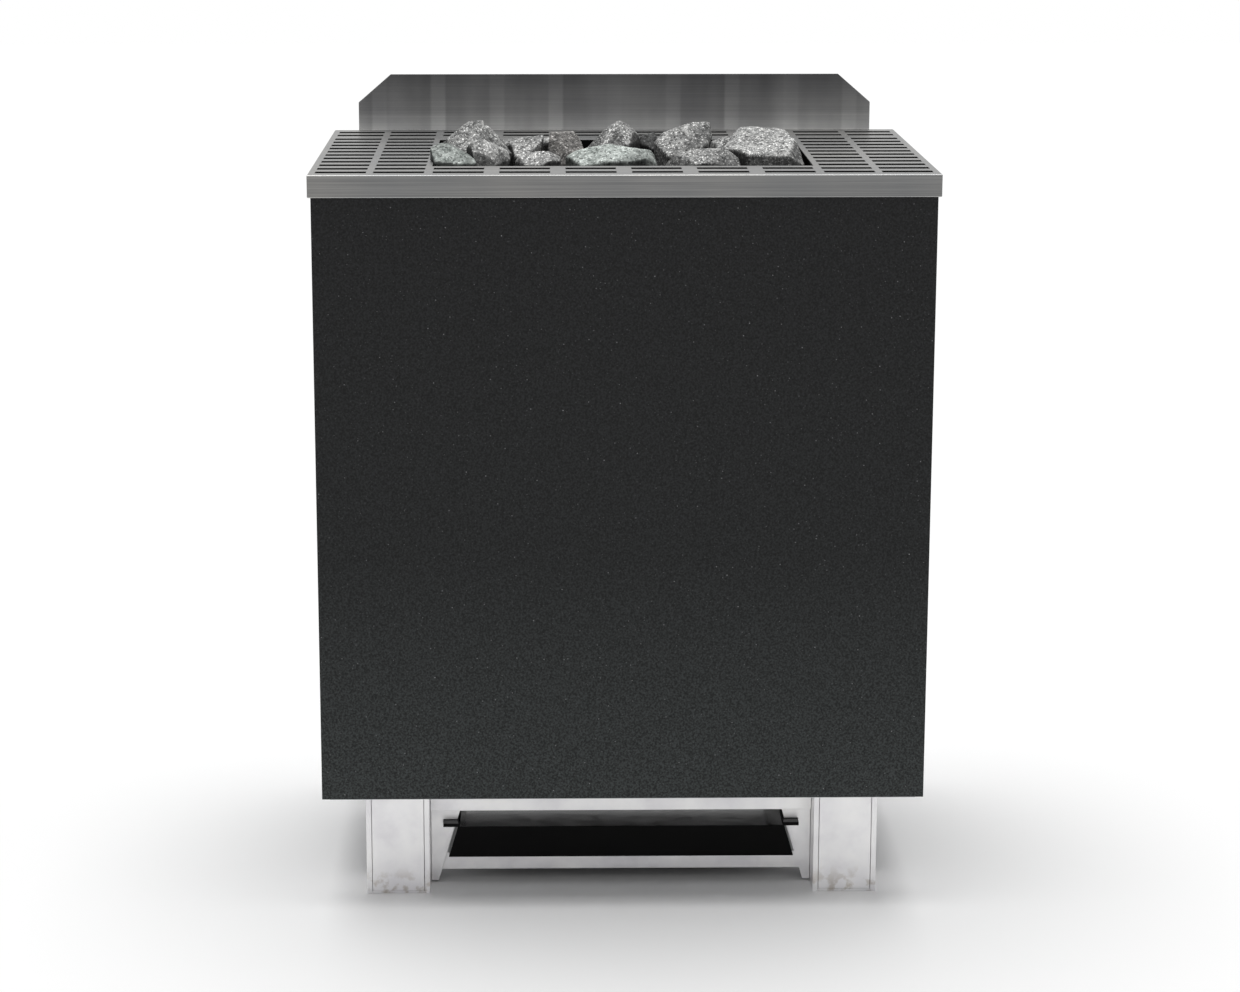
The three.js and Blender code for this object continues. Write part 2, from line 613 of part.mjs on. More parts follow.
// Inner walls: the side walls stand on the base plate and carry the front and rear walls between them
const SHIELD_SIDE = RIM_WIDTH / 2 - SHIELD_GAP - SHIELD_SHEET; // inner face of a side wall
{
  const front = RIM_FRONT + SHIELD_GAP;
  const rear = RIM_REAR - SHIELD_GAP;
  const top = RIM_UNDERSIDE - SHIELD_TOP_GAP;
  const raised = HOUSING_TOP + SHIELD_AIR_GAP;
  for (const [side, label] of SIDES) {
    const x0 = side * SHIELD_SIDE;
    const x1 = side * (SHIELD_SIDE + SHIELD_SHEET);
    const low = [Math.min(x0, x1), front, BASE_TOP + SEAT];
    part(`inner_wall_${label}`, block(low, [Math.max(x0, x1), rear, top]), FINISH.stainless);
  }
  const side = SHIELD_SIDE - SEAT;
  const frontWall = block([-side, front, raised], [side, front + SHIELD_SHEET, top]);
  const rearWall = block([-side, rear - SHIELD_SHEET, raised], [side, rear, top]);
  part("inner_wall_front", frontWall, FINISH.stainless);
  part("inner_wall_rear", rearWall, FINISH.stainless);
}

// Stone basket with a slotted floor, on two angle rails between the inner side walls
{
  const wallTop = RIM_UNDERSIDE - SEAT;
  const shell = block([-BASKET_SIDE, BASKET_FRONT, GRATE_BOTTOM], [BASKET_SIDE, BASKET_REAR, wallTop]);
  const hollowLow = [-BASKET_SIDE + BASKET_SHEET, BASKET_FRONT + BASKET_SHEET, GRATE_TOP];
  const hollow = block(hollowLow, [BASKET_SIDE - BASKET_SHEET, BASKET_REAR - BASKET_SHEET, RIM_TOP]);
  const rows = Math.floor((BASKET_REAR - BASKET_FRONT - 2 * BASKET_RAIL_LEG) / GRATE_PITCH);
  const slotHalf = (OPENING_SIDE - GRATE_BAR) / 2;
  const slots = [];
  for (let row = 0; row < rows; row += 1) {
    const y = OPENING_MIDDLE + (row - (rows - 1) / 2) * GRATE_PITCH;
    for (const [side] of SIDES) {
      const x = side * OPENING_SIDE / 2;
      const low = [x - slotHalf, y - GRATE_SLOT_WIDTH / 2, GRATE_BOTTOM - OVERCUT];
      const high = [x + slotHalf, y + GRATE_SLOT_WIDTH / 2, GRATE_TOP + OVERCUT];
      slots.push(block(low, high));
    }
  }
  part("stone_basket", cut(shell, hollow, ...slots), FINISH.heaterSteel);

  const top = GRATE_BOTTOM - SEAT;
  for (const [direction, end, edge] of [[1, "front", BASKET_FRONT], [-1, "rear", BASKET_REAR]]) {
    const outer = edge - direction * BASKET_RAIL_OVERHANG;
    const inner = outer + direction * BASKET_RAIL_LEG;
    const web = outer + direction * BASKET_RAIL_SHEET;
    const section = [
      [outer, top - BASKET_RAIL_LEG], [outer, top], [inner, top], [inner, top - BASKET_RAIL_SHEET],
      [web, top - BASKET_RAIL_SHEET], [web, top - BASKET_RAIL_LEG],
    ];
    part(`basket_rail_${end}`, crossBar(section, SHIELD_SIDE - SEAT), FINISH.heaterSteel);
  }
}

// Heating elements: tubes bent to and fro in upright planes, their ends in the terminal housing
class HalfTurn extends THREE.Curve {
  constructor(x, z, radius, rise) {
    super();
    this.x = x;
    this.z = z;
    this.radius = radius;
    this.rise = rise;
  }

  getPoint(t, target = new THREE.Vector3()) {
    const angle = Math.PI * (1 - t);
    const x = this.x + this.radius * Math.cos(angle);
    return target.set(x, 0, this.z + this.rise * this.radius * Math.sin(angle));
  }
}

const ELEMENT_LEG = 1.5 * LEG_PITCH; // outer legs from the middle
function elementTube() {
  const radius = LEG_PITCH / 2;
  const low = HOUSING_TOP + ELEMENT_LOW_BEND + radius;
  const high = GRATE_BOTTOM - ELEMENT_HEADROOM - TUBE_RADIUS - radius;
  const end = HOUSING_TOP - ELEMENT_TAIL;
  const point = (x, z) => new THREE.Vector3(x, 0, z);
  const path = new THREE.CurvePath();
  path.add(new THREE.LineCurve3(point(-ELEMENT_LEG, end), point(-ELEMENT_LEG, high)));
  path.add(new HalfTurn(-LEG_PITCH, high, radius, 1));
  path.add(new THREE.LineCurve3(point(-radius, high), point(-radius, low)));
  path.add(new HalfTurn(0, low, radius, -1));
  path.add(new THREE.LineCurve3(point(radius, low), point(radius, high)));
  path.add(new HalfTurn(LEG_PITCH, high, radius, 1));
  path.add(new THREE.LineCurve3(point(ELEMENT_LEG, high), point(ELEMENT_LEG, end)));
  const section = [];
  for (let i = 0; i < TUBE_SIDES; i += 1) {
    const angle = (2 * Math.PI * i) / TUBE_SIDES;
    section.push([TUBE_RADIUS * Math.cos(angle), TUBE_RADIUS * Math.sin(angle)]);
  }
  return new THREE.ExtrudeGeometry(outline(section), { steps: ELEMENT_STEPS, extrudePath: path });
}

const ELEMENT_ROWS = [[-1, "front"], [0, "middle"], [1, "rear"]];
for (const [row, label] of ELEMENT_ROWS) {
  const element = part(`heating_element_${label}`, elementTube(), FINISH.heaterSteel);
  element.position.y = OPENING_MIDDLE + row * ELEMENT_SPACING;
}

// Terminal housing: a hood on the base plate, open towards the hatch, with a hole for each element end
const HOUSING_REAR = CASING_REAR - PANEL_LIP - SEAT;
{
  const side = ELEMENT_LEG + HOUSING_SIDE;
  const front = OPENING_MIDDLE - ELEMENT_SPACING - HOUSING_SIDE;
  const hood = block([-side, front, HOUSING_BOTTOM], [side, HOUSING_REAR, HOUSING_TOP]);
  const roof = HOUSING_TOP - HOUSING_SHEET;
  const insideLow = [-side + HOUSING_SHEET, front + HOUSING_SHEET, HOUSING_BOTTOM - OVERCUT];
  const inside = block(insideLow, [side - HOUSING_SHEET, HOUSING_REAR + OVERCUT, roof]);
  const holes = [];
  for (const [row] of ELEMENT_ROWS) {
    for (const [end] of SIDES) {
      const x = end * ELEMENT_LEG;
      const y = OPENING_MIDDLE + row * ELEMENT_SPACING;
      holes.push(holeAlongZ(TUBE_RADIUS + FIT, x, y, roof - OVERCUT, HOUSING_TOP + OVERCUT));
    }
  }
  part("terminal_housing", cut(hood, inside, ...holes), FINISH.galvanised);
}

// Terminal block: a comb of barriers with a saddle for each pole
{
  const half = (BLOCK_POLES * BLOCK_POLE_PITCH + BLOCK_WALL) / 2;
  const rear = CASING_REAR - BLOCK_SETBACK;
  const bottom = BASE_TOP + SEAT;
  const top = bottom + BLOCK_HEIGHT;
  const body = block([-half, rear - BLOCK_DEPTH, bottom], [half, rear, top]);
  const poles = [];
  for (let pole = 0; pole < BLOCK_POLES; pole += 1) {
    const x = -half + BLOCK_WALL + pole * BLOCK_POLE_PITCH;
    const low = [x, rear - BLOCK_DEPTH - OVERCUT, bottom + BLOCK_SADDLE];
    poles.push(block(low, [x + BLOCK_POLE_PITCH - BLOCK_WALL, rear + OVERCUT, top + OVERCUT]));
  }
  part("terminal_block", cut(body, ...poles), FINISH.ceramic);
}

// Terminal cover over the hatch, with the cable gland and its nut
{
  const side = HATCH_WIDTH / 2 + COVER_MARGIN;
  const front = CASING_REAR + SEAT;
  const rear = front + COVER_SHEET;
  const glandZ = (HATCH_BOTTOM + HATCH_TOP) / 2;
  const plate = block([-side, front, HATCH_BOTTOM - COVER_MARGIN], [side, rear, HATCH_TOP + COVER_MARGIN]);
  const holeRadius = GLAND_THREAD_RADIUS + FIT;
  const hole = holeAlongY(holeRadius, GLAND_OFFSET, glandZ, front - OVERCUT, rear + OVERCUT);
  part("terminal_cover", cut(plate, hole), FINISH.galvanised);

  const shoulder = rear + SEAT;
  const hexEnd = shoulder + GLAND_HEX_LENGTH;
  const capEnd = hexEnd + GLAND_CAP_LENGTH;
  const tail = front - GLAND_TAIL;
  const gland = [
    [GLAND_BORE, tail], [GLAND_THREAD_RADIUS, tail], [GLAND_THREAD_RADIUS, shoulder],
    [GLAND_HEX_RADIUS, shoulder], [GLAND_HEX_RADIUS, hexEnd], [GLAND_CAP_RADIUS, hexEnd],
    [GLAND_CAP_RADIUS, capEnd - GLAND_BORE / 2], [(GLAND_CAP_RADIUS + GLAND_BORE) / 2, capEnd],
    [GLAND_BORE, capEnd], [GLAND_BORE, tail],
  ];
  const glandBody = part("cable_gland", turned(gland, GLAND_SIDES), FINISH.polyamide);
  glandBody.position.set(GLAND_OFFSET, 0, glandZ);

  const nutRear = front - SEAT;
  const nutFront = nutRear - NUT_LENGTH;
  const nutBore = holeRadius / Math.cos(Math.PI / HOLE_SIDES);
  const nut = [
    [nutBore, nutFront], [NUT_RADIUS, nutFront], [NUT_RADIUS, nutRear], [nutBore, nutRear],
    [nutBore, nutFront],
  ];
  const nutRing = part("gland_nut", turned(nut, HOLE_SIDES), FINISH.polyamide);
  nutRing.position.set(GLAND_OFFSET, 0, glandZ);
}

// Upper stones. x and y place the middle of a stone in the opening, from -1 to 1. Its corners are given
// from there, with heights over the rim; below them it swells to a waist and narrows to its foot.
const STONES = [
  {
    x: -0.89, y: -0.64, finish: "greenStone",
    corners: [
      [-20, 0, 11], [-15, 6, 14], [-3, 8, 15], [9, -4, 9], [18, -14, 0], [-16, -18, 2], [4, -20, 0],
      [-14, 20, 8], [6, 22, 9], [16, 12, 4],
    ],
  },
  {
    x: -0.71, y: -0.55, finish: "greyStone",
    corners: [
      [-23, 2, 8], [-13, 4, 15], [-4, 4, 16], [8, -8, 10], [18, -12, 2], [-14, -20, 0], [4, -22, -2],
      [-16, 18, 10], [2, 22, 12], [16, 14, 6],
    ],
  },
  {
    x: -0.43, y: -0.73, finish: "greyStone",
    corners: [
      [-21, -2, 1], [-18, 2, 6], [-7, 4, 8], [6, 4, 9], [16, 2, 4], [21, -6, -3], [-12, -14, -1],
      [8, -15, 0], [-14, 16, 5], [4, 20, 7], [18, 12, 2],
    ],
  },
  {
    x: -0.05, y: -0.62, finish: "greenStone",
    corners: [
      [-38, 4, 5], [-29, 6, 8], [-8, 6, 12], [9, 8, 14], [28, 6, 14], [35, 0, 3], [37, -8, -5],
      [-26, -18, -2], [0, -22, 2], [26, -20, 1], [-28, 22, 6], [0, 28, 11], [24, 24, 10],
    ],
  },
  {
    x: 0.43, y: -0.69, finish: "greyStone",
    corners: [
      [-32, -4, -1], [-19, 2, 7], [-3, 4, 10], [20, 4, 9], [30, 2, 2], [31, -8, -3], [-18, -16, -2],
      [6, -18, 1], [-16, 18, 4], [8, 22, 8], [26, 16, 5],
    ],
  },
  {
    x: 0.77, y: -0.4, finish: "greyStone",
    corners: [
      [-17, 42, 22], [19, 42, 20], [26, 2, 15], [17, -36, 5], [-23, -36, 7], [-34, -3, 8], [-20, -39, -16],
      [21, -39, -16], [32, -22, -4], [30, 30, 2], [-24, 44, 4],
    ],
  },
  {
    x: -0.77, y: 0.09, finish: "greyStone",
    corners: [
      [-28, 2, 10], [-16, 4, 19], [-8, 2, 25], [3, 2, 26], [15, -4, 14], [28, -18, 0], [-20, -26, 0],
      [4, -30, 2], [-22, 26, 6], [2, 30, 12], [20, 20, 6],
    ],
  },
  {
    x: -0.91, y: 0.5, finish: "darkStone",
    corners: [[-10, -12, 4], [8, -12, 6], [-10, 14, 3], [10, 16, 2], [0, 0, 7]],
  },
  {
    x: -0.3, y: 0.02, finish: "brownStone",
    corners: [
      [-12, 4, 17], [6, 4, 19], [14, 0, 9], [16, -12, 2], [0, -22, 0], [-14, -8, 8], [-12, 22, 10],
      [10, 24, 12],
    ],
  },
  {
    x: -0.5, y: 0.14, finish: "darkStone",
    corners: [
      [-16, -2, 4], [-4, 2, 11], [13, 4, 13], [-11, -26, -2], [8, -22, 0], [-14, 18, 5], [10, 22, 8],
    ],
  },
  {
    x: -0.03, y: 0.25, finish: "greyStone",
    corners: [
      [-23, -4, 1], [-12, 2, 10], [-5, 2, 19], [4, 0, 24], [18, 4, 22], [22, 2, 10], [-10, -22, 1],
      [12, -22, 4], [-14, 24, 6], [10, 28, 14],
    ],
  },
  {
    x: 0.19, y: 0.56, finish: "darkStone",
    corners: [
      [-11, -2, 8], [3, 0, 11], [11, -2, 5], [-10, -16, -2], [10, -16, -4], [-10, 16, 2], [10, 16, 3],
    ],
  },
  {
    x: 0.35, y: 0.07, finish: "greyStone",
    corners: [
      [-25, -2, 8], [-17, 4, 16], [-5, 4, 20], [7, 4, 24], [22, 6, 24], [24, 2, 14], [19, -18, 3],
      [-14, -28, -1], [-18, 24, 8], [4, 28, 16], [20, 24, 14],
    ],
  },
  {
    x: 0.6, y: 0.26, finish: "greyStone",
    corners: [
      [-14, -4, 3], [0, 2, 11], [12, 4, 10], [-12, -20, -2], [10, -16, 2], [-14, 18, 4], [12, 20, 6],
    ],
  },
  {
    x: 0.78, y: 0.65, finish: "darkStone",
    corners: [[-24, -18, 2], [22, -20, 6], [26, 18, 2], [-22, 20, 4], [0, 0, 9], [6, 20, 7]],
  },
  {
    x: -0.46, y: 0.7, finish: "greyStone",
    corners: [[-32, -16, 1], [30, -16, 3], [32, 18, 0], [-30, 20, 2], [-4, 0, 6], [12, 4, 5]],
  },
];

// Repeatable numbers from 0 to 1
const SEED_STRIDE = 7919;
const SEED_START = 17;
const NUMBER_FACTOR = 16807;
const NUMBER_MODULUS = 2147483647;
function numbers(seed) {
  let state = seed * SEED_STRIDE + SEED_START;
  return () => {
    state = (state * NUMBER_FACTOR) % NUMBER_MODULUS;
    return state / NUMBER_MODULUS;
  };
}

const GOLDEN_ANGLE = Math.PI * (3 - Math.sqrt(5));

// Lump of the bed: the hull of points spread over a squared ball, narrowed towards its top
function lump(size, turn, seed) {
  const next = numbers(seed);
  const points = [];
  for (let i = 0; i < LUMP_POINTS; i += 1) {
    const z = 1 - (2 * (i + 0.5)) / LUMP_POINTS;
    const angle = GOLDEN_ANGLE * (i + LUMP_JITTER * next());
    const flat = Math.sqrt(1 - z * z);
    const point = new THREE.Vector3(flat * Math.cos(angle), flat * Math.sin(angle), z);
    const norm = point.toArray().reduce((sum, value) => sum + Math.abs(value) ** LUMP_SQUARENESS, 0);
    point.multiplyScalar((1 - LUMP_JITTER * next()) / norm ** (1 / LUMP_SQUARENESS));
    const narrowing = 1 - LUMP_TAPER * (point.z + 1) / 2;
    point.multiply(new THREE.Vector3(narrowing, narrowing, 1));
    point.applyAxisAngle(new THREE.Vector3(0, 0, 1), turn);
    points.push(point.multiply(new THREE.Vector3(...size)).divideScalar(2));
  }
  return new ConvexGeometry(points);
}

// A ring of points round a box seen from above, at a height
function ring(box, share, z) {
  const middle = box.getCenter(new THREE.Vector3());
  const half = box.getSize(new THREE.Vector3()).multiplyScalar(share / 2);
  const points = [];
  for (let i = 0; i < RING_POINTS; i += 1) {
    const angle = (2 * Math.PI * (i + 0.5)) / RING_POINTS;
    const x = middle.x + half.x * Math.cos(angle);
    const y = middle.y + half.y * Math.sin(angle);
    points.push(new THREE.Vector3(x, y, z));
  }
  return points;
}

// Upper stone: the hull of its corners, its waist and its foot
function stoneHull({ corners }) {
  const crown = corners.map((corner) => new THREE.Vector3(...corner).multiplyScalar(CORNER_STEP));
  const box = new THREE.Box3().setFromPoints(crown);
  const waist = ring(box, WAIST_SHARE, -WAIST_DROP);
  const foot = ring(box, STONE_FOOT_SHARE, -STONE_FOOT_DROP);
  const geometry = new ConvexGeometry([...crown, ...waist, ...foot]);
  return { geometry, size: box.getSize(new THREE.Vector3()) };
}

// Keeps the part of a solid on the near side of a plane, whose normal points away from it
function keepNear(solid, normal, distance) {
  return solid.trimByPlane([-normal.x, -normal.y, -normal.z], -distance);
}

// Half the extent of an oval of a given size, seen from above, in a direction
function reachAlong(size, direction) {
  return Math.hypot(size.x * direction.x, size.y * direction.y) / 2;
}

const stones = new THREE.Group();
stones.position.set(0, OPENING_MIDDLE, RIM_TOP);
heater.add(stones);

const OPENING_HALF_DEPTH = (OPENING_REAR - OPENING_FRONT) / 2;
const placedStones = STONES.map((stone) => {
  const middle = new THREE.Vector3(stone.x * OPENING_SIDE, stone.y * OPENING_HALF_DEPTH, 0);
  return { ...stoneHull(stone), middle };
});

// The rim round the opening, which a stone may lie on but not enter
const rimSpace = toSolid(block(
  [-RIM_WIDTH / 2, -RIM_DEPTH / 2, -BASKET_DEPTH],
  [RIM_WIDTH / 2, RIM_DEPTH / 2, SEAT],
)).subtract(toSolid(block(
  [-OPENING_SIDE + SEAT, -OPENING_HALF_DEPTH + SEAT, -BASKET_DEPTH - OVERCUT],
  [OPENING_SIDE - SEAT, OPENING_HALF_DEPTH - SEAT, SEAT + OVERCUT],
)));

// A stone is flattened where it meets a neighbour and where it lies against the rim
function settledStone(stone) {
  let solid = toSolid(stone.geometry).translate(stone.middle.toArray());
  for (const other of placedStones) {
    if (other !== stone) {
      const apart = other.middle.clone().sub(stone.middle);
      const direction = apart.clone().normalize();
      const own = reachAlong(stone.size, direction);
      const share = own / (own + reachAlong(other.size, direction));
      const plane = direction.dot(stone.middle) + apart.length() * share - SEAT / 2;
      solid = keepNear(solid, direction, plane);
    }
  }
  return solid.subtract(rimSpace);
}

const stoneSolids = placedStones.map(settledStone);
stoneSolids.forEach((solid, index) => {
  const number = String(index + 1).padStart(2, "0");
  part(`stone_${number}`, toGeometry(solid), FINISH[STONES[index].finish], stones);
});

// Bed of lower stones: one mass of rubble on the basket floor, hollowed where the upper stones lie in it
{
  const side = OPENING_SIDE + BASKET_INSIDE - SEAT;
  const end = OPENING_HALF_DEPTH + BASKET_INSIDE - SEAT;
  const floor = -BASKET_DEPTH + SEAT;
  const across = Math.max(2, Math.round(2 * side / BED_PITCH));
  const back = Math.max(2, Math.round(2 * end / BED_PITCH));
  const stepX = 2 * side / across;
  const stepY = 2 * end / back;
  const next = numbers(BED_SEED);
  let bed = toSolid(block([-side, -end, floor], [side, end, floor + BED_SLAB]));
  for (let i = 0; i < across; i += 1) {
    for (let j = 0; j < back; j += 1) {
      const height = BED_DEPTH * (1 - BED_SCATTER * next());
      const size = [stepX * BED_OVERLAP, stepY * BED_OVERLAP, height];
      const stone = toSolid(lump(size, Math.PI * next(), 1 + i * back + j));
      const x = -side + (i + 0.5) * stepX;
      const y = -end + (j + 0.5) * stepY;
      bed = bed.add(stone.translate([x, y, floor + height / 2]));
    }
  }
  const space = toSolid(block([-side, -end, floor], [side, end, floor + BED_DEPTH]));
  bed = bed.intersect(space);
  stoneSolids.forEach((solid, index) => {
    const { middle, size } = placedStones[index];
    const nest = 1 + 2 * SEAT / Math.min(size.x, size.y);
    const [x, y] = middle.toArray();
    bed = bed.subtract(solid.translate([-x, -y, 0]).scale(nest).translate([x, y, 0]));
  });
  part("stone_bed", toGeometry(bed), FINISH.darkStone, stones);
}

export default heater;
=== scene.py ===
import math

import bpy
import numpy as np
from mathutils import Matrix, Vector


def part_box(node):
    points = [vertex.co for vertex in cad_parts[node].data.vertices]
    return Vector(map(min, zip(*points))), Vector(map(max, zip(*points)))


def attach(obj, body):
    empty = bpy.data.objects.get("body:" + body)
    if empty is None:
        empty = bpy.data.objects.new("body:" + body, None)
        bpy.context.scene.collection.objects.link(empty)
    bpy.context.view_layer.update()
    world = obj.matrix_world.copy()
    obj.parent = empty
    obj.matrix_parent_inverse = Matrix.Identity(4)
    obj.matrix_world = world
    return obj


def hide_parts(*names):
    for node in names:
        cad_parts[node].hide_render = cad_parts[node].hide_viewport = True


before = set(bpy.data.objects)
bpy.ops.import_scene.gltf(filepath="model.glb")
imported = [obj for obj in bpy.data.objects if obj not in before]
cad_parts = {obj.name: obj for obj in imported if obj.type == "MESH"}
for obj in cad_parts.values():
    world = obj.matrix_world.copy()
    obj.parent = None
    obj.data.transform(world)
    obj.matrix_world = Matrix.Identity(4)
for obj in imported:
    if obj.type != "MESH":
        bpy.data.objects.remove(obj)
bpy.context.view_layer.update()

# Feet, rails and tray brackets: folded from bright galvanised sheet, spot-welded to each other and
# bolted under the base plate. The zinc is mottled and smudged by handling, and wet has browned the feet.
FEET = [
    "foot_front_left", "foot_front_right", "foot_rear_left", "foot_rear_right",
    "foot_plate_front_left", "foot_plate_front_right", "foot_plate_rear_left", "foot_plate_rear_right",
]
STAND = [
    "base_rail_front", "base_rail_rear", "tray_bar_front", "tray_bar_rear",
    "tray_bracket_front_left", "tray_bracket_front_right",
    "tray_bracket_rear_left", "tray_bracket_rear_right",
]
ZINC_FOLD_RADIUS = 0.0004
MARKED_FROM, MARKED_TO = 0.003, 0.024
GRID_TURN = (0.6, 0.4, 0.9)
WELD_GAP = 1e-5
FOLD_ANGLE = 40.0


def new_finish(name):
    """A material with one Principled shader: gives the material, its node tree and the shader."""
    finish = bpy.data.materials.new(name)
    finish.use_nodes = True
    return finish, finish.node_tree, finish.node_tree.nodes["Principled BSDF"]


def cloudy(tree, scale, detail=3.0, stretch=(1.0, 1.0, 1.0), roughness=0.55):
    """Noise from 0 to 1 over the piece's own coordinates in metres, which stretch scales along x, y and
    z. It is turned, so that no flat face lies along the noise's own grid."""
    place = tree.nodes.new("ShaderNodeTexCoord")
    mapping = tree.nodes.new("ShaderNodeMapping")
    mapping.inputs["Scale"].default_value = stretch
    mapping.inputs["Rotation"].default_value = GRID_TURN
    noise = tree.nodes.new("ShaderNodeTexNoise")
    noise.inputs["Scale"].default_value = scale
    noise.inputs["Detail"].default_value = detail
    noise.inputs["Roughness"].default_value = roughness
    tree.links.new(place.outputs["Object"], mapping.inputs["Vector"])
    tree.links.new(mapping.outputs["Vector"], noise.inputs["Vector"])
    return noise.outputs["Fac"]


def own_place(tree):
    """The piece's own x, y and z in metres, as three values."""
    place = tree.nodes.new("ShaderNodeTexCoord")
    parts = tree.nodes.new("ShaderNodeSeparateXYZ")
    tree.links.new(place.outputs["Object"], parts.inputs["Vector"])
    return parts.outputs


def colour_steps(tree, value, stops):
    """A colour for each value from 0 to 1, blended between (place, colour) stops."""
    ramp = tree.nodes.new("ShaderNodeValToRGB")
    bar = ramp.color_ramp
    while len(bar.elements) < len(stops):
        bar.elements.new(0.5)
    for element, (place, colour) in zip(bar.elements, stops):
        element.position = place
        element.color = (*colour, 1.0)
    tree.links.new(value, ramp.inputs["Fac"])
    return ramp.outputs["Color"]


def between(tree, value, low, high, start=0.3, end=0.7):
    """A number that goes from low to high as the value goes from start to end."""
    span = tree.nodes.new("ShaderNodeMapRange")
    span.inputs["From Min"].default_value = start
    span.inputs["From Max"].default_value = end
    span.inputs["To Min"].default_value = low
    span.inputs["To Max"].default_value = high
    tree.links.new(value, span.inputs["Value"])
    return span.outputs["Result"]


def blended(tree, mode, share, first, second):
    """Two colours joined by a blend mode, the second at a share that is a number or a value."""
    mix = tree.nodes.new("ShaderNodeMix")
    mix.data_type = "RGBA"
    mix.blend_type = mode
    if isinstance(share, float):
        mix.inputs[0].default_value = share
    else:
        tree.links.new(share, mix.inputs[0])
    tree.links.new(first, mix.inputs[6])
    tree.links.new(second, mix.inputs[7])
    return mix.outputs[2]


def roughen(tree, shader, height, strength, distance):
    """Tilts the surface by a height pattern; distance is the pattern's height in metres."""
    bump = tree.nodes.new("ShaderNodeBump")
    bump.inputs["Strength"].default_value = strength
    bump.inputs["Distance"].default_value = distance
    tree.links.new(height, bump.inputs["Height"])
    tree.links.new(bump.outputs["Normal"], shader.inputs["Normal"])


def dress(names, finish):
    """Puts a finish on solids of the frame."""
    for name in names:
        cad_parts[name].material_slots[0].material = finish


def round_folds(names, radius, segments=2):
    """Rounds the folds and cut edges of solids of the frame by a small radius in metres."""
    for name in names:
        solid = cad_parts[name]
        weld = solid.modifiers.new("joined corners", "WELD")
        weld.merge_threshold = WELD_GAP
        fold = solid.modifiers.new("rounded folds", "BEVEL")
        fold.width = radius
        fold.segments = segments
        fold.limit_method = "ANGLE"
        fold.angle_limit = math.radians(FOLD_ANGLE)
        fold.harden_normals = True


def bright_zinc(name, mark):
    """Bright zinc: mottled in clouds, with wide faint smudges and, near the floor, drops that have dried
    to a mark of a given colour."""
    finish, tree, shader = new_finish(name)
    shader.inputs["Metallic"].default_value = 0.85
    mottle = colour_steps(tree, cloudy(tree, 34.0, 4.0), [
        (0.30, (0.80, 0.79, 0.805)), (0.48, (0.87, 0.865, 0.87)), (0.70, (0.93, 0.925, 0.915)),
    ])
    smudge = colour_steps(tree, cloudy(tree, 11.0, 2.0), [
        (0.34, (0.90, 0.895, 0.915)), (0.56, (1.0, 1.0, 1.0)),
    ])
    low_down = between(tree, own_place(tree)["Z"], 1.0, 0.0, MARKED_FROM, MARKED_TO)
    drops = colour_steps(tree, cloudy(tree, 110.0, 4.0), [
        (0.51, (0.0, 0.0, 0.0)), (0.63, (1.0, 1.0, 1.0)),
    ])
    marks = colour_steps(tree, blended(tree, "MULTIPLY", 1.0, low_down, drops), [
        (0.0, (1.0, 1.0, 1.0)), (1.0, mark),
    ])
    handled = blended(tree, "MULTIPLY", 1.0, mottle, smudge)
    tree.links.new(blended(tree, "MULTIPLY", 1.0, handled, marks), shader.inputs["Base Color"])
    tree.links.new(between(tree, cloudy(tree, 60.0, 3.0), 0.30, 0.52), shader.inputs["Roughness"])
    roughen(tree, shader, cloudy(tree, 140.0, 2.0), 0.06, 0.0006)
    return finish


dress(FEET, bright_zinc("wet marked galvanised sheet", (0.68, 0.64, 0.585)))
dress(STAND, bright_zinc("bright galvanised sheet", (0.95, 0.95, 0.95)))
round_folds(FEET + STAND, ZINC_FOLD_RADIUS)

# Base plate, terminal housing, cover and rear panel: plain galvanised sheet out of sight, duller than
# the feet and with the long faint marks that the rolling mill leaves in it.
HIDDEN_ZINC_PIECES = ["base_plate", "terminal_housing", "terminal_cover", "rear_panel"]
HIDDEN_ZINC_FOLD_RADIUS = 0.0004

dull_zinc, tree, shader = new_finish("dull galvanised sheet")
shader.inputs["Metallic"].default_value = 0.85
spangle = colour_steps(tree, cloudy(tree, 95.0, 3.0), [
    (0.32, (0.50, 0.51, 0.54)), (0.52, (0.60, 0.61, 0.63)), (0.72, (0.68, 0.69, 0.69)),
])
rolling = colour_steps(tree, cloudy(tree, 1.0, 2.0, (2.5, 260.0, 260.0)), [
    (0.30, (0.90, 0.90, 0.90)), (0.70, (1.0, 1.0, 1.0)),
])
tree.links.new(blended(tree, "MULTIPLY", 1.0, spangle, rolling), shader.inputs["Base Color"])
tree.links.new(between(tree, cloudy(tree, 40.0, 3.0), 0.42, 0.60), shader.inputs["Roughness"])
dress(HIDDEN_ZINC_PIECES, dull_zinc)
round_folds(HIDDEN_ZINC_PIECES, HIDDEN_ZINC_FOLD_RADIUS)

# Drip tray: a pan folded from thin sheet and coated with glossy black enamel. It hangs by its side
# flanges in the brackets' slots and is drawn out to the front to be emptied. Its floor is glossier and
# painted dark brown, a painted tint of the reflection seen in it.
TRAY_FOLD_RADIUS = 0.0004
FILM_DEPTH, FILM_EDGE = 0.004, 0.002


def facing(tree):
    """The x, y and z of the way that the surface faces, as three values."""
    face = tree.nodes.new("ShaderNodeNewGeometry")
    parts = tree.nodes.new("ShaderNodeSeparateXYZ")
    tree.links.new(face.outputs["Normal"], parts.inputs["Vector"])
    return parts.outputs


def counted(tree, operation, first, second):
    """One number worked out from two, each a number or a value."""
    sum_node = tree.nodes.new("ShaderNodeMath")
    sum_node.operation = operation
    for socket, number in zip(sum_node.inputs, (first, second)):
        if isinstance(number, float):
            socket.default_value = number
        else:
            tree.links.new(number, socket)
    return sum_node.outputs[0]


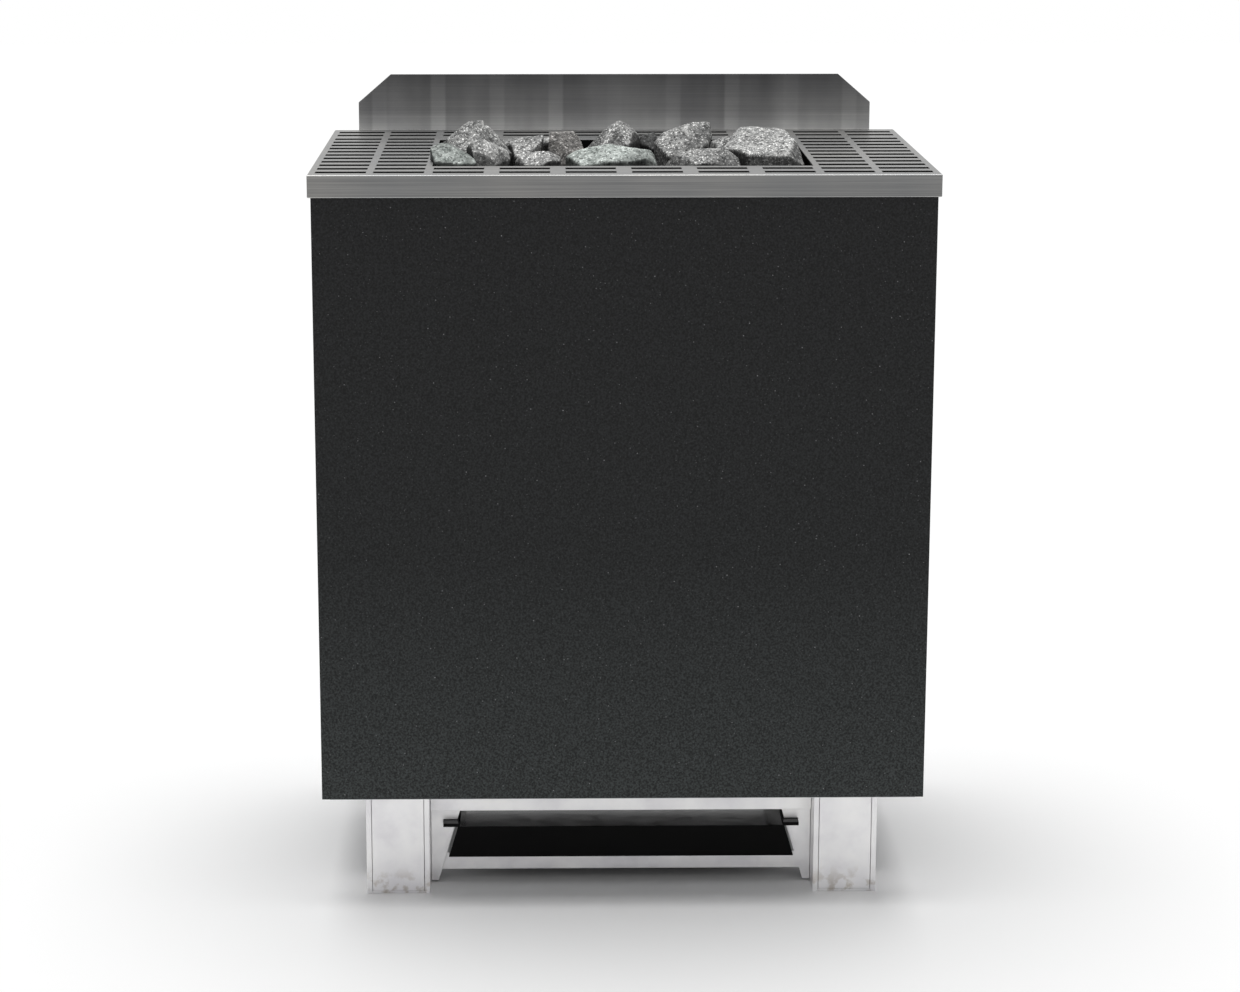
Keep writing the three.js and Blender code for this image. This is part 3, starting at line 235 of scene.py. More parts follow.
enamel, tree, shader = new_finish("glossy black enamel")
tray_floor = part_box("drip_tray")[0].z
film_top = tray_floor + FILM_DEPTH
low_down = between(tree, own_place(tree)["Z"], 1.0, 0.0, film_top, film_top + FILM_EDGE)
upward = between(tree, facing(tree)["Z"], 0.0, 1.0, 0.4, 0.6)
floor_gloss_and_painted_tint = counted(tree, "MULTIPLY", low_down, upward)
tree.links.new(between(tree, floor_gloss_and_painted_tint, 0.07, 0.75, 0.0, 1.0), shader.inputs["Specular IOR Level"])
depth = colour_steps(tree, cloudy(tree, 25.0, 2.0), [
    (0.35, (0.0006, 0.0006, 0.0006)), (0.70, (0.0016, 0.0016, 0.0016)),
])
# Painted reflection: the floor's dark brown stands in for the tint of what it mirrors.
brown = colour_steps(tree, cloudy(tree, 16.0, 3.0), [
    (0.30, (0.010, 0.0082, 0.0072)), (0.70, (0.022, 0.0175, 0.015)),
])
tree.links.new(blended(tree, "MIX", floor_gloss_and_painted_tint, depth, brown), shader.inputs["Base Color"])
tree.links.new(between(tree, cloudy(tree, 90.0, 2.0), 0.10, 0.20), shader.inputs["Roughness"])
roughen(tree, shader, cloudy(tree, 260.0, 2.0), 0.05, 0.0002)
dress(["drip_tray"], enamel)
round_folds(["drip_tray"], TRAY_FOLD_RADIUS)

# Terminal block and cable gland: an unglazed ceramic comb for the mains wires, and a moulded polyamide
# gland with its nut that holds the mains cable in the cover's hole.
GLAND_EDGE_RADIUS = 0.0006

ceramic, tree, shader = new_finish("unglazed ceramic")
shader.inputs["Roughness"].default_value = 0.62
clay = colour_steps(tree, cloudy(tree, 120.0, 4.0), [
    (0.30, (0.66, 0.62, 0.54)), (0.70, (0.80, 0.77, 0.70)),
])
tree.links.new(clay, shader.inputs["Base Color"])
dress(["terminal_block"], ceramic)

polyamide, tree, shader = new_finish("dark moulded polyamide")
moulded = colour_steps(tree, cloudy(tree, 80.0, 3.0), [
    (0.30, (0.030, 0.031, 0.034)), (0.70, (0.045, 0.046, 0.050)),
])
tree.links.new(moulded, shader.inputs["Base Color"])
tree.links.new(between(tree, cloudy(tree, 300.0, 2.0), 0.38, 0.55), shader.inputs["Roughness"])
dress(["cable_gland", "gland_nut"], polyamide)
round_folds(["cable_gland", "gland_nut"], GLAND_EDGE_RADIUS)

# Heating elements: steel tubes bent in upright planes, dark and a little scaled from glowing. They
# stand under the basket with their cold ends in the terminal housing.
sheath, tree, shader = new_finish("oxidised element sheath")
shader.inputs["Metallic"].default_value = 0.8
scale_tint = colour_steps(tree, cloudy(tree, 55.0, 4.0), [
    (0.30, (0.13, 0.11, 0.10)), (0.52, (0.20, 0.18, 0.17)), (0.75, (0.29, 0.26, 0.23)),
])
tree.links.new(scale_tint, shader.inputs["Base Color"])
tree.links.new(between(tree, cloudy(tree, 150.0, 3.0), 0.45, 0.68), shader.inputs["Roughness"])
dress(["heating_element_front", "heating_element_middle", "heating_element_rear"], sheath)

# Stone basket and its rails: welded from steel sheet and angle, browned by the heat. The basket stands
# on the rails under the opening of the rim.
browned, tree, shader = new_finish("heat browned steel")
shader.inputs["Metallic"].default_value = 0.75
browning = colour_steps(tree, cloudy(tree, 26.0, 4.0), [
    (0.30, (0.075, 0.072, 0.069)), (0.55, (0.120, 0.115, 0.110)), (0.75, (0.170, 0.164, 0.158)),
])
tree.links.new(browning, shader.inputs["Base Color"])
tree.links.new(between(tree, cloudy(tree, 70.0, 3.0), 0.42, 0.65), shader.inputs["Roughness"])
dress(["stone_basket", "basket_rail_front", "basket_rail_rear"], browned)

# Inner walls: loose sheets of aluminised steel between the casing and the hot middle, dull but still
# mirroring what is near them, with faint upright drawing marks.
aluminised, tree, shader = new_finish("aluminised sheet")
shader.inputs["Metallic"].default_value = 0.95
drawn = colour_steps(tree, cloudy(tree, 1.0, 3.0, (300.0, 300.0, 4.0)), [
    (0.30, (0.10, 0.10, 0.10)), (0.52, (0.14, 0.14, 0.138)), (0.72, (0.19, 0.187, 0.182)),
])
tree.links.new(drawn, shader.inputs["Base Color"])
tree.links.new(between(tree, cloudy(tree, 50.0, 3.0), 0.26, 0.42), shader.inputs["Roughness"])
dress(["inner_wall_front", "inner_wall_rear", "inner_wall_left", "inner_wall_right"], aluminised)

# Casing panels: steel sheet folded back along its edges and sprayed with satin anthracite stove paint,
# whose fine metallic flakes show as light specks, partly a painted glint. Its colour is painted lighter
# towards the floor, a painted light gradient.
PANELS = ["front_panel", "side_panel_left", "side_panel_right"]
PANEL_FOLD_RADIUS = 0.0006
FLAKE_CELLS = 430.0
LIGHT_GRADIENT_FOOT, LIGHT_GRADIENT_TOP = 0.10, 0.60

paint, tree, shader = new_finish("anthracite stove paint")
shader.inputs["Specular IOR Level"].default_value = 0.17
# Painted light: the paint's colour grows lighter towards the floor.
painted_light_gradient = colour_steps(tree, between(tree, own_place(tree)["Z"], 0.0, 1.0, LIGHT_GRADIENT_FOOT, LIGHT_GRADIENT_TOP), [
    (0.0, (0.0350, 0.0390, 0.0385)), (0.40, (0.0150, 0.0160, 0.0162)), (1.0, (0.0110, 0.0111, 0.0115)),
])
spray = colour_steps(tree, cloudy(tree, 620.0, 2.0), [
    (0.36, (0.42, 0.42, 0.42)), (0.50, (1.0, 1.0, 1.0)), (0.64, (1.6, 1.6, 1.64)),
])
sprayed = blended(tree, "MULTIPLY", 1.0, painted_light_gradient, spray)
flakes = tree.nodes.new("ShaderNodeTexVoronoi")
flakes.inputs["Scale"].default_value = FLAKE_CELLS
place = tree.nodes.new("ShaderNodeTexCoord")
turned = tree.nodes.new("ShaderNodeMapping")
turned.inputs["Rotation"].default_value = GRID_TURN
tree.links.new(place.outputs["Object"], turned.inputs["Vector"])
tree.links.new(turned.outputs["Vector"], flakes.inputs["Vector"])
dots = colour_steps(tree, flakes.outputs["Distance"], [(0.11, (1.0, 1.0, 1.0)), (0.23, (0.0, 0.0, 0.0))])
# Light flake specks: partly the flakes' own lighter colour, partly painted glints.
flake_tone_and_painted_glints = colour_steps(tree, flakes.outputs["Color"], [
    (0.50, (0.0, 0.0, 0.0)), (0.66, (0.022, 0.022, 0.023)), (0.84, (0.055, 0.055, 0.057)),
    (0.97, (0.30, 0.30, 0.31)),
])
specks = blended(tree, "MULTIPLY", 1.0, dots, flake_tone_and_painted_glints)
tree.links.new(blended(tree, "ADD", 1.0, sprayed, specks), shader.inputs["Base Color"])
tree.links.new(between(tree, cloudy(tree, 420.0, 2.0), 0.40, 0.56), shader.inputs["Roughness"])
roughen(tree, shader, cloudy(tree, 900.0, 2.0), 0.10, 0.0003)
dress(PANELS, paint)
round_folds(PANELS, PANEL_FOLD_RADIUS)

# Rim: a pan of stainless sheet, turned down all round and brushed along its width. Its slots are cut by
# heat, which leaves their edges dark; they are painted near black, which is also painted shade in the
# slots. Its outer folds are painted lighter: a painted highlight. It lies loose on the casing and frames
# the stones.
RIM_FOLD_RADIUS = 0.0007
SKIRT_MARGIN = 0.0025
UPRIGHT_FACE, LEVEL_FACE = 0.15, 0.93


def brush_along_x(tree, shader, amount):
    """Brush strokes along x: highlights spread across the strokes, up a wall and back over a flat top."""
    across = tree.nodes.new("ShaderNodeCombineXYZ")
    across.inputs["Y"].default_value = 0.7
    across.inputs["Z"].default_value = 0.7
    shader.inputs["Anisotropic"].default_value = amount
    tree.links.new(across.outputs["Vector"], shader.inputs["Tangent"])


def edge_masks(tree, low, high, margin):
    """Two numbers that are 1 or 0. The first marks cut edges: faces that aren't level, further than a
    margin inside a plan from low to high. The second marks folds: slanting faces outside that plan."""
    up = counted(tree, "ABSOLUTE", facing(tree)["Z"], 0.0)
    tilted = counted(tree, "LESS_THAN", up, LEVEL_FACE)
    slanting = counted(tree, "MULTIPLY", tilted, counted(tree, "GREATER_THAN", up, UPRIGHT_FACE))
    spot = own_place(tree)
    within = []
    for axis in (0, 1):
        middle, half = (low[axis] + high[axis]) / 2, (high[axis] - low[axis]) / 2 - margin
        off = counted(tree, "ABSOLUTE", counted(tree, "SUBTRACT", spot[axis], middle), 0.0)
        within.append(counted(tree, "LESS_THAN", off, half))
    inside = counted(tree, "MULTIPLY", *within)
    outside = counted(tree, "SUBTRACT", 1.0, inside)
    return counted(tree, "MULTIPLY", tilted, inside), counted(tree, "MULTIPLY", slanting, outside)


rim_low, rim_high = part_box("top_rim")
brushed, tree, shader = new_finish("brushed stainless")
shader.inputs["Metallic"].default_value = 1.0
strokes = colour_steps(tree, cloudy(tree, 1.0, 4.0, (7.0, 1100.0, 1100.0)), [
    (0.28, (0.165, 0.165, 0.166)), (0.50, (0.205, 0.205, 0.203)), (0.74, (0.255, 0.252, 0.247)),
])
stains = colour_steps(tree, cloudy(tree, 9.0, 3.0), [
    (0.32, (0.84, 0.85, 0.86)), (0.66, (1.0, 0.99, 0.97)),
])
cuts, folds = edge_masks(tree, rim_low, rim_high, SKIRT_MARGIN)
# Cut edges painted near black: partly the dark oxide of the heat cut, partly painted shade in the slots.
cut_oxide_and_painted_shade = colour_steps(tree, cuts, [(0.0, (1.0, 1.0, 1.0)), (1.0, (0.05, 0.05, 0.05))])
# Outer folds painted lighter: a painted highlight along the rim's folded edge.
painted_fold_highlight = colour_steps(tree, folds, [(0.0, (1.0, 1.0, 1.0)), (1.0, (2.6, 2.6, 2.6))])
sheet = blended(tree, "MULTIPLY", 1.0, strokes, stains)
edge_oxide_and_painted_light = blended(tree, "MULTIPLY", 1.0, cut_oxide_and_painted_shade, painted_fold_highlight)
tree.links.new(blended(tree, "MULTIPLY", 1.0, sheet, edge_oxide_and_painted_light), shader.inputs["Base Color"])
grain = cloudy(tree, 1.0, 3.0, (9.0, 700.0, 700.0))
tree.links.new(between(tree, grain, 0.30, 0.42), shader.inputs["Roughness"])
brush_along_x(tree, shader, 0.7)
dress(["top_rim"], brushed)
round_folds(["top_rim"], RIM_FOLD_RADIUS)

# Reflector: a plate of the same stainless sheet with its upper corners cut off, brushed along its width.
# Its colour is clouded in patches, darker towards its top and lightest at its foot. Lighter upright
# stripes above the rim's bars, in patches on its front face, are painted reflections of those bars.
# Two screws hold it against turned spacers on the rear panel.
REFLECTOR_FOLD_RADIUS = 0.0004
FIXING_EDGE_RADIUS = 0.0003
STRIPE_PITCH = 0.0525
STRIPE_HALF, STRIPE_EDGE = 0.0055, 0.0020
FRONT_FACE = -0.5
FIXINGS = [
    "reflector_spacer_left", "reflector_spacer_right", "reflector_screw_left", "reflector_screw_right",
]

reflector_stainless, tree, shader = new_finish("clouded stainless with painted reflections")
shader.inputs["Metallic"].default_value = 1.0
strokes = colour_steps(tree, cloudy(tree, 1.0, 3.0, (5.0, 1400.0, 1400.0)), [
    (0.28, (0.33, 0.33, 0.333)), (0.50, (0.37, 0.37, 0.37)), (0.74, (0.42, 0.418, 0.414)),
])
hazes = colour_steps(tree, cloudy(tree, 14.0, 4.0), [
    (0.32, (0.80, 0.80, 0.81)), (0.66, (1.0, 1.0, 0.99)),
])
spot = own_place(tree)
from_bar = counted(tree, "PINGPONG", spot["X"], STRIPE_PITCH / 2)
over_bar = between(tree, from_bar, 1.0, 0.0, STRIPE_HALF, STRIPE_HALF + STRIPE_EDGE)
# Painted reflection: lighter upright stripes over the rim's bars stand in for the bars mirrored in the
# plate.
painted_bar_reflections = colour_steps(tree, over_bar, [
    (0.0, (0.72, 0.72, 0.725)), (1.0, (1.0, 1.0, 1.0)),
])
reflector_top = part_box("reflector")[1].z
rising = colour_steps(tree, between(tree, spot["Z"], 0.0, 1.0, rim_high.z, reflector_top), [
    (0.0, (1.40, 1.40, 1.385)), (0.35, (0.70, 0.70, 0.70)), (1.0, (0.31, 0.31, 0.315)),
])
clouded = blended(tree, "MULTIPLY", 1.0, blended(tree, "MULTIPLY", 1.0, strokes, hazes), rising)
# The painted reflections lie only on the front face, in patches.
front = counted(tree, "LESS_THAN", facing(tree)["Y"], FRONT_FACE)
patchy = between(tree, cloudy(tree, 30.0, 2.0, (1.0, 1.0, 0.15)), 0.15, 1.0, 0.35, 0.65)
painted_reflection_share = counted(tree, "MULTIPLY", patchy, front)
tree.links.new(blended(tree, "MULTIPLY", painted_reflection_share, clouded, painted_bar_reflections), shader.inputs["Base Color"])
tree.links.new(between(tree, cloudy(tree, 22.0, 3.0), 0.30, 0.38), shader.inputs["Roughness"])
brush_along_x(tree, shader, 1.0)
dress(["reflector"], reflector_stainless)
round_folds(["reflector"], REFLECTOR_FOLD_RADIUS)

turned_steel, tree, shader = new_finish("turned stainless")
shader.inputs["Metallic"].default_value = 1.0
lathe_marks = colour_steps(tree, cloudy(tree, 400.0, 2.0), [
    (0.30, (0.42, 0.42, 0.42)), (0.70, (0.56, 0.56, 0.55)),
])
tree.links.new(lathe_marks, shader.inputs["Base Color"])
tree.links.new(between(tree, cloudy(tree, 700.0, 2.0), 0.25, 0.38), shader.inputs["Roughness"])
dress(FIXINGS, turned_steel)
round_folds(FIXINGS, FIXING_EDGE_RADIUS)

# Cover screws: pan-headed steel screws that hold the terminal cover and the rear panel's edges. Each is
# turned, with a domed head.
SCREW_RADIUS, SCREW_HEIGHT = 0.0042, 0.0021
SCREW_FOOT = 0.97  # its foot against its radius
SCREW_WALL = 0.35  # its wall against its height
SCREW_CROWN = 0.6  # less than 1 makes a fuller dome
SCREW_TIP = 1e-6
SCREW_TURNS, SCREW_RINGS = 28, 9
COVER_SCREW_INSET = 0.006
PANEL_SCREWS = 4
PANEL_SCREW_INSET, PANEL_SCREW_LOWEST, PANEL_SCREW_HIGHEST = 0.0095, 0.03, 0.09


def new_piece(name, points, faces):
    """A smooth object at the origin from an array of points and a list of faces."""
    mesh = bpy.data.meshes.new(name)
    mesh.from_pydata(points.tolist(), [], faces)
    mesh.shade_smooth()
    piece = bpy.data.objects.new(name, mesh)
    bpy.context.scene.collection.objects.link(piece)
    return piece


def domed_heads(name, places, radius, height):
    """Screw heads on a face that looks along +y. A head's surface is a profile turned about its axis: out
    along the face, up a short wall, then a quarter of an oval back to the axis."""
    angle = np.linspace(0, 2 * np.pi, SCREW_TURNS, endpoint=False)
    sweep = np.linspace(0, np.pi / 2, SCREW_RINGS)
    out = radius * np.concatenate([[SCREW_FOOT], np.cos(sweep) ** SCREW_CROWN]) + SCREW_TIP
    rise = height * np.concatenate([[0.0], SCREW_WALL + (1 - SCREW_WALL) * np.sin(sweep)])
    x = places[:, 0, None, None] + out[None, :, None] * np.cos(angle)
    z = places[:, 2, None, None] + out[None, :, None] * np.sin(angle)
    y = places[:, 1, None, None] + np.broadcast_to(rise[None, :, None], x.shape)
    points = np.stack([x, y, z], axis=-1)
    heads, rings, turns = x.shape
    index = np.arange(heads * rings * turns).reshape(heads, rings, turns)
    low, high = index[:, :-1], index[:, 1:]
    sides = np.stack([high, np.roll(high, -1, axis=2), np.roll(low, -1, axis=2), low], axis=-1)
    caps = [*index[:, 0].tolist(), *index[:, -1, ::-1].tolist()]
    return new_piece(name, points.reshape(-1, 3), [*sides.reshape(-1, 4).tolist(), *caps])


cover_low, cover_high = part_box("terminal_cover")
rear_low, rear_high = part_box("rear_panel")
cover_corners = np.array([
    (x, cover_high.y, z)
    for x in (cover_low.x + COVER_SCREW_INSET, cover_high.x - COVER_SCREW_INSET)
    for z in (cover_low.z + COVER_SCREW_INSET, cover_high.z - COVER_SCREW_INSET)
])
lowest, highest = rear_low.z + PANEL_SCREW_LOWEST, rear_high.z - PANEL_SCREW_HIGHEST
panel_edges = np.array([
    (x, rear_high.y, z)
    for x in (rear_low.x + PANEL_SCREW_INSET, rear_high.x - PANEL_SCREW_INSET)
    for z in np.linspace(lowest, highest, PANEL_SCREWS)
])
places = np.concatenate([cover_corners, panel_edges])
rear_screws = domed_heads("rear_screws", places, SCREW_RADIUS, SCREW_HEIGHT)
rear_screws.data.materials.append(turned_steel)
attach(rear_screws, "heater")

# Upper stones: broken rock, laid by hand so that they lock together in the opening. Each keeps the place
# and facets of its solid, with a rough, fractured face. Their colour is painted lighter on the faces that
# look up and darker on those that look sideways and down: painted light and shade. It varies a little
# from facet to facet, and the ridges are paler, partly from wear and partly a painted highlight.
STONE_TURNS, STONE_RINGS = 132, 76
RIDGE_SHARPNESS = 260.0
FACET_SLACK = 0.0004
FACET_STEPS = (60, 60, 60, 400)  # facets that round to the same steps are one
LEAST_FACING = 1e-6
CHIPPED_CORNERS = 6
CHIP_DEPTHS = (0.0015, 0.0060)
HUMP_SIZE, HUMP_HEIGHT = 0.016, 0.0010
CHIP_SIZE, CHIP_HEIGHT = 0.0045, 0.0007
SEED_STEP, CHIP_SEED = 31, 7
ROUGH_STEPS = 3
HASH_OF_AXES = (73856093, 19349663, 83492791)
HASH_OF_SEED, HASH_OF_MIX = 2654435761, 1274126177
# How much lighter up-facing facets are painted (painted light), and how much tones vary by facet.
PAINTED_TOP_LIGHT, FACET_VARIETY = 0.74, 0.18
# How much lighter ridges are painted: partly wear, partly a painted highlight.
RIDGE_WIDTH, RIDGE_WEAR_AND_HIGHLIGHT = 0.05, 0.25
RIM_CLEARANCE = 0.0005
BASKET_UNDER_RIM = 0.0031
GREY_STONES = ["02", "03", "05", "06", "07", "10", "11", "13", "14", "16"]
GREEN_STONES = ["01", "04"]
BROWN_STONES = ["09"]
DARK_STONES = ["08", "12", "15"]


def cell_noise(points, seed):
    """Smooth noise from 0 to 1: a hashed number at each corner of a unit cell, blended across the cell
    by a cubic weight along each axis."""
    cell = np.floor(points).astype(np.int64)
    part = points - cell
    weight = part * part * (3 - 2 * part)
    total = np.zeros(points.shape[:-1])
    for corner in np.ndindex(2, 2, 2):
        key = cell + np.array(corner)
        mixed = np.bitwise_xor.reduce(key * HASH_OF_AXES, axis=-1) ^ seed * HASH_OF_SEED
        mixed = mixed & 0xFFFFFFFF
        mixed = (mixed ^ (mixed >> 13)) * HASH_OF_MIX & 0xFFFFFFFF
        number = (mixed ^ (mixed >> 16)) / 2.0 ** 32
        total += number * np.prod(np.where(corner, weight, 1 - weight), axis=-1)
    return total


def fracture(points, size, seed):
    """Rough height from -1 to 1: a few noises, each half as large and half as high as the one before."""
    shares = [0.5 ** step for step in range(ROUGH_STEPS)]
    heights = [
        share * cell_noise(points / (size * share), seed + step) for step, share in enumerate(shares)
    ]
    return 2 * sum(heights) / sum(shares) - 1


def stone_facets(node, seed):
    """Outer planes of a solid as unit normals and offsets: those of its faces that no corner lies beyond,
    and some planes at seeded angles that take a few millimetres off its corners."""
    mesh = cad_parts[node].data
    corners = np.empty(len(mesh.vertices) * 3, np.float32)
    mesh.vertices.foreach_get("co", corners)
    corners = corners.reshape(-1, 3).astype(float)
    normals = np.empty(len(mesh.polygons) * 3, np.float32)
    mesh.polygons.foreach_get("normal", normals)
    centres = np.empty(len(mesh.polygons) * 3, np.float32)
    mesh.polygons.foreach_get("center", centres)
    planes = np.concatenate([normals.reshape(-1, 3), centres.reshape(-1, 3)], axis=1).astype(float)
    offsets = np.sum(planes[:, :3] * planes[:, 3:], axis=1)
    outer = (corners @ planes[:, :3].T).max(axis=0) < offsets + FACET_SLACK
    facets = np.concatenate([planes[:, :3], offsets[:, None]], axis=1)[outer]
    _, first = np.unique(np.round(facets * FACET_STEPS), axis=0, return_index=True)
    rng = np.random.default_rng(seed)
    chips = rng.normal(size=(CHIPPED_CORNERS, 3))
    chips /= np.linalg.norm(chips, axis=1, keepdims=True)
    chip_offsets = (corners @ chips.T).max(axis=0) - rng.uniform(*CHIP_DEPTHS, CHIPPED_CORNERS)
    middle = (corners.min(axis=0) + corners.max(axis=0)) / 2
    all_normals = np.concatenate([facets[first, :3], chips])
    return all_normals, np.concatenate([facets[first, 3], chip_offsets]), middle


def closed_globe(name, shape_of, turns, rings):
    """A closed surface round a middle: a grid of directions, by angle round the x axis and angle from it,
    each carried out to its point, with one corner at each end of the axis. Each point carries a value of
    painted light and shade, kept as a mesh attribute."""
    around = np.linspace(0, 2 * np.pi, turns, endpoint=False)
    away = np.linspace(0, np.pi, rings + 2)[1:-1]
    tilt, turn = np.meshgrid(away, around, indexing="ij")
    grid = np.stack([np.cos(tilt), np.sin(tilt) * np.cos(turn), np.sin(tilt) * np.sin(turn)], axis=-1)
    directions = np.concatenate([grid.reshape(-1, 3), [[1.0, 0, 0], [-1.0, 0, 0]]])
    index = np.arange(rings * turns).reshape(rings, turns)
    low, high = index[:-1], index[1:]
    sides = np.stack([low, high, np.roll(high, -1, axis=1), np.roll(low, -1, axis=1)], axis=-1)
    first, last = np.full(turns, rings * turns), np.full(turns, rings * turns + 1)
    start = np.stack([first, index[0], np.roll(index[0], -1)], axis=-1)
    end = np.stack([last, np.roll(index[-1], -1), index[-1]], axis=-1)
    points, painted_shading_and_wear = shape_of(directions)
    faces = [*sides.reshape(-1, 4).tolist(), *start.tolist(), *end.tolist()]
    piece = new_piece(name, points, faces)
    piece.data.attributes.new("painted_shading_and_wear", "FLOAT", "POINT").data.foreach_set("value", painted_shading_and_wear)
    return piece


basket_low, basket_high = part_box("stone_basket")
opening_low = np.array([basket_low.x, basket_low.y]) + BASKET_UNDER_RIM + RIM_CLEARANCE
opening_high = np.array([basket_high.x, basket_high.y]) - BASKET_UNDER_RIM - RIM_CLEARANCE


def broken_stone(number):
    """A stone round the middle of its solid: a direction reaches to a soft least of the distances to the
    facets, plus humps and chips; below the rim's top it stays inside the opening. The painted light and
    shade on its points grows with how far their facet looks up, varies a little from facet to facet, and
    rises where two facets meet, partly for wear and partly as a painted highlight."""
    normals, offsets, middle = stone_facets(f"stone_{number}", int(number))
    rng = np.random.default_rng(int(number))
    facet_tones = rng.uniform(-FACET_VARIETY, FACET_VARIETY, len(normals))

    def shape_of(directions):
        toward = directions @ normals.T
        gap = offsets - normals @ middle
        nearness = np.maximum(toward, LEAST_FACING) / gap
        nearest = nearness.max(axis=1)
        shares = (nearness / nearest[:, None]) ** RIDGE_SHARPNESS
        reach = 1 / (nearest * np.sum(shares, axis=1) ** (1 / RIDGE_SHARPNESS))
        points = middle + directions * reach[:, None]
        seed = SEED_STEP * int(number)
        humps = HUMP_HEIGHT * fracture(points, HUMP_SIZE, seed)
        chips = CHIP_HEIGHT * fracture(points, CHIP_SIZE, seed + CHIP_SEED)
        points = middle + directions * (reach + humps + chips)[:, None]
        below = points[:, 2] < rim_high.z + RIM_CLEARANCE
        inside = np.clip(points[:, :2], opening_low, opening_high)
        points[:, :2] = np.where(below[:, None], inside, points[:, :2])
        facet = nearness.argmax(axis=1)
        second = np.partition(nearness, -2, axis=1)[:, -2]
        ridge = ((second / nearest - 1 + RIDGE_WIDTH) / RIDGE_WIDTH).clip(0, 1)
        # Painted light and shade: facets that look up are lighter; ridges lighter, partly wear and partly
        # a painted highlight.
        painted_shading_and_wear = PAINTED_TOP_LIGHT * normals[facet, 2].clip(0, 1) + facet_tones[facet] + RIDGE_WEAR_AND_HIGHLIGHT * ridge
        return points, painted_shading_and_wear.clip(0, 1)

    return closed_globe(f"broken_stone_{number}", shape_of, STONE_TURNS, STONE_RINGS)


def stone_finish(name, shade, body, light, flecks):
    """Rock: three tones in clouds, a salt of pale flecks and fine dark pits, all of it scaled by the
    painted light and shade on the mesh's points: near black where that value is low, lighter where it is
    high."""
    finish, tree, shader = new_finish(name)
    shader.inputs["Specular IOR Level"].default_value = 0.3
    tones = colour_steps(tree, cloudy(tree, 150.0, 5.0, roughness=0.66), [
        (0.36, shade), (0.50, body), (0.64, light),
    ])
    salt = colour_steps(tree, cloudy(tree, 560.0, 3.0, roughness=0.7), [
        (0.55, (0.0, 0.0, 0.0)), (0.64, flecks),
    ])
    pits = colour_steps(tree, cloudy(tree, 380.0, 4.0, roughness=0.7), [
        (0.38, (0.22, 0.22, 0.22)), (0.50, (1.0, 1.0, 1.0)),
    ])
    pale = tree.nodes.new("ShaderNodeAttribute")
    pale.attribute_name = "painted_shading_and_wear"
    # Painted light and shade: the mesh's value darkens the rock to near black or makes it lighter.
    faces = colour_steps(tree, pale.outputs["Fac"], [
        (0.0, (0.05, 0.05, 0.05)), (0.35, (0.37, 0.37, 0.37)), (1.0, (1.46, 1.46, 1.46)),
    ])
    pitted = blended(tree, "MULTIPLY", 1.0, blended(tree, "ADD", 1.0, tones, salt), pits)
    tree.links.new(blended(tree, "MULTIPLY", 1.0, pitted, faces), shader.inputs["Base Color"])
    tree.links.new(between(tree, cloudy(tree, 200.0, 2.0), 0.62, 0.90), shader.inputs["Roughness"])
    roughen(tree, shader, cloudy(tree, 260.0, 6.0, roughness=0.62), 0.35, 0.0009)
    return finish


grey_rock = stone_finish(
    "grey rock", shade=(0.115, 0.116, 0.115), body=(0.25, 0.252, 0.248),
    light=(0.45, 0.45, 0.44), flecks=(0.85, 0.85, 0.83),
)
green_rock = stone_finish(
    "green rock", shade=(0.20, 0.225, 0.21), body=(0.36, 0.39, 0.37),
    light=(0.55, 0.59, 0.56), flecks=(0.42, 0.44, 0.43),
)
brown_rock = stone_finish(
    "brown rock", shade=(0.11, 0.105, 0.10), body=(0.23, 0.22, 0.21),
    light=(0.39, 0.376, 0.36), flecks=(0.72, 0.705, 0.685),
)
dark_rock = stone_finish(
    "dark rock", shade=(0.03, 0.03, 0.03), body=(0.065, 0.066, 0.065),
    light=(0.13, 0.132, 0.13), flecks=(0.20, 0.20, 0.20),
)

for numbers, finish, slot in [
    (GREY_STONES, grey_rock, "grey_stone"),
    (GREEN_STONES, green_rock, "green_stone"),
    (BROWN_STONES, brown_rock, "brown_stone"),
    (DARK_STONES, dark_rock, "dark_stone"),
]:
    for number in numbers:
        stone = broken_stone(number)
        stone.data.materials.append(finish)
        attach(stone, "heater")
        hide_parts(f"stone_{number}")
        dress([f"stone_{number}"], finish)

# Lower stones: broken rock, tipped into the basket under the upper stones. Their colour is painted dark
# for the shade that the upper stones cast, and darker still low down between them: painted shade. It
# shows only in the gaps between them.
BED_COLUMNS, BED_ROWS = 230, 150
RUBBLE_PITCH = 0.043
RUBBLE_SEED = 12
RUBBLE_STRAY = 0.22  # of the pitch
RUBBLE_RADII = (0.62, 0.86)  # of the pitch
RUBBLE_TOPS = (0.80, 1.0)  # of the bed's height
RUBBLE_TILT = 0.25
RUBBLE_WIDTH = 0.8  # of its length
RUBBLE_SQUARENESS = 2.6
RUBBLE_EDGE = 0.45  # of its top
RUBBLE_GAP = 0.42  # of the bed's height
LUMP_SIZE, LUMP_HEIGHT, LUMP_SEED = 0.016, 0.0022, 91
GRIT_SIZE, GRIT_HEIGHT, GRIT_SEED = 0.005, 0.0010, 95

bed_low, bed_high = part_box("stone_bed")


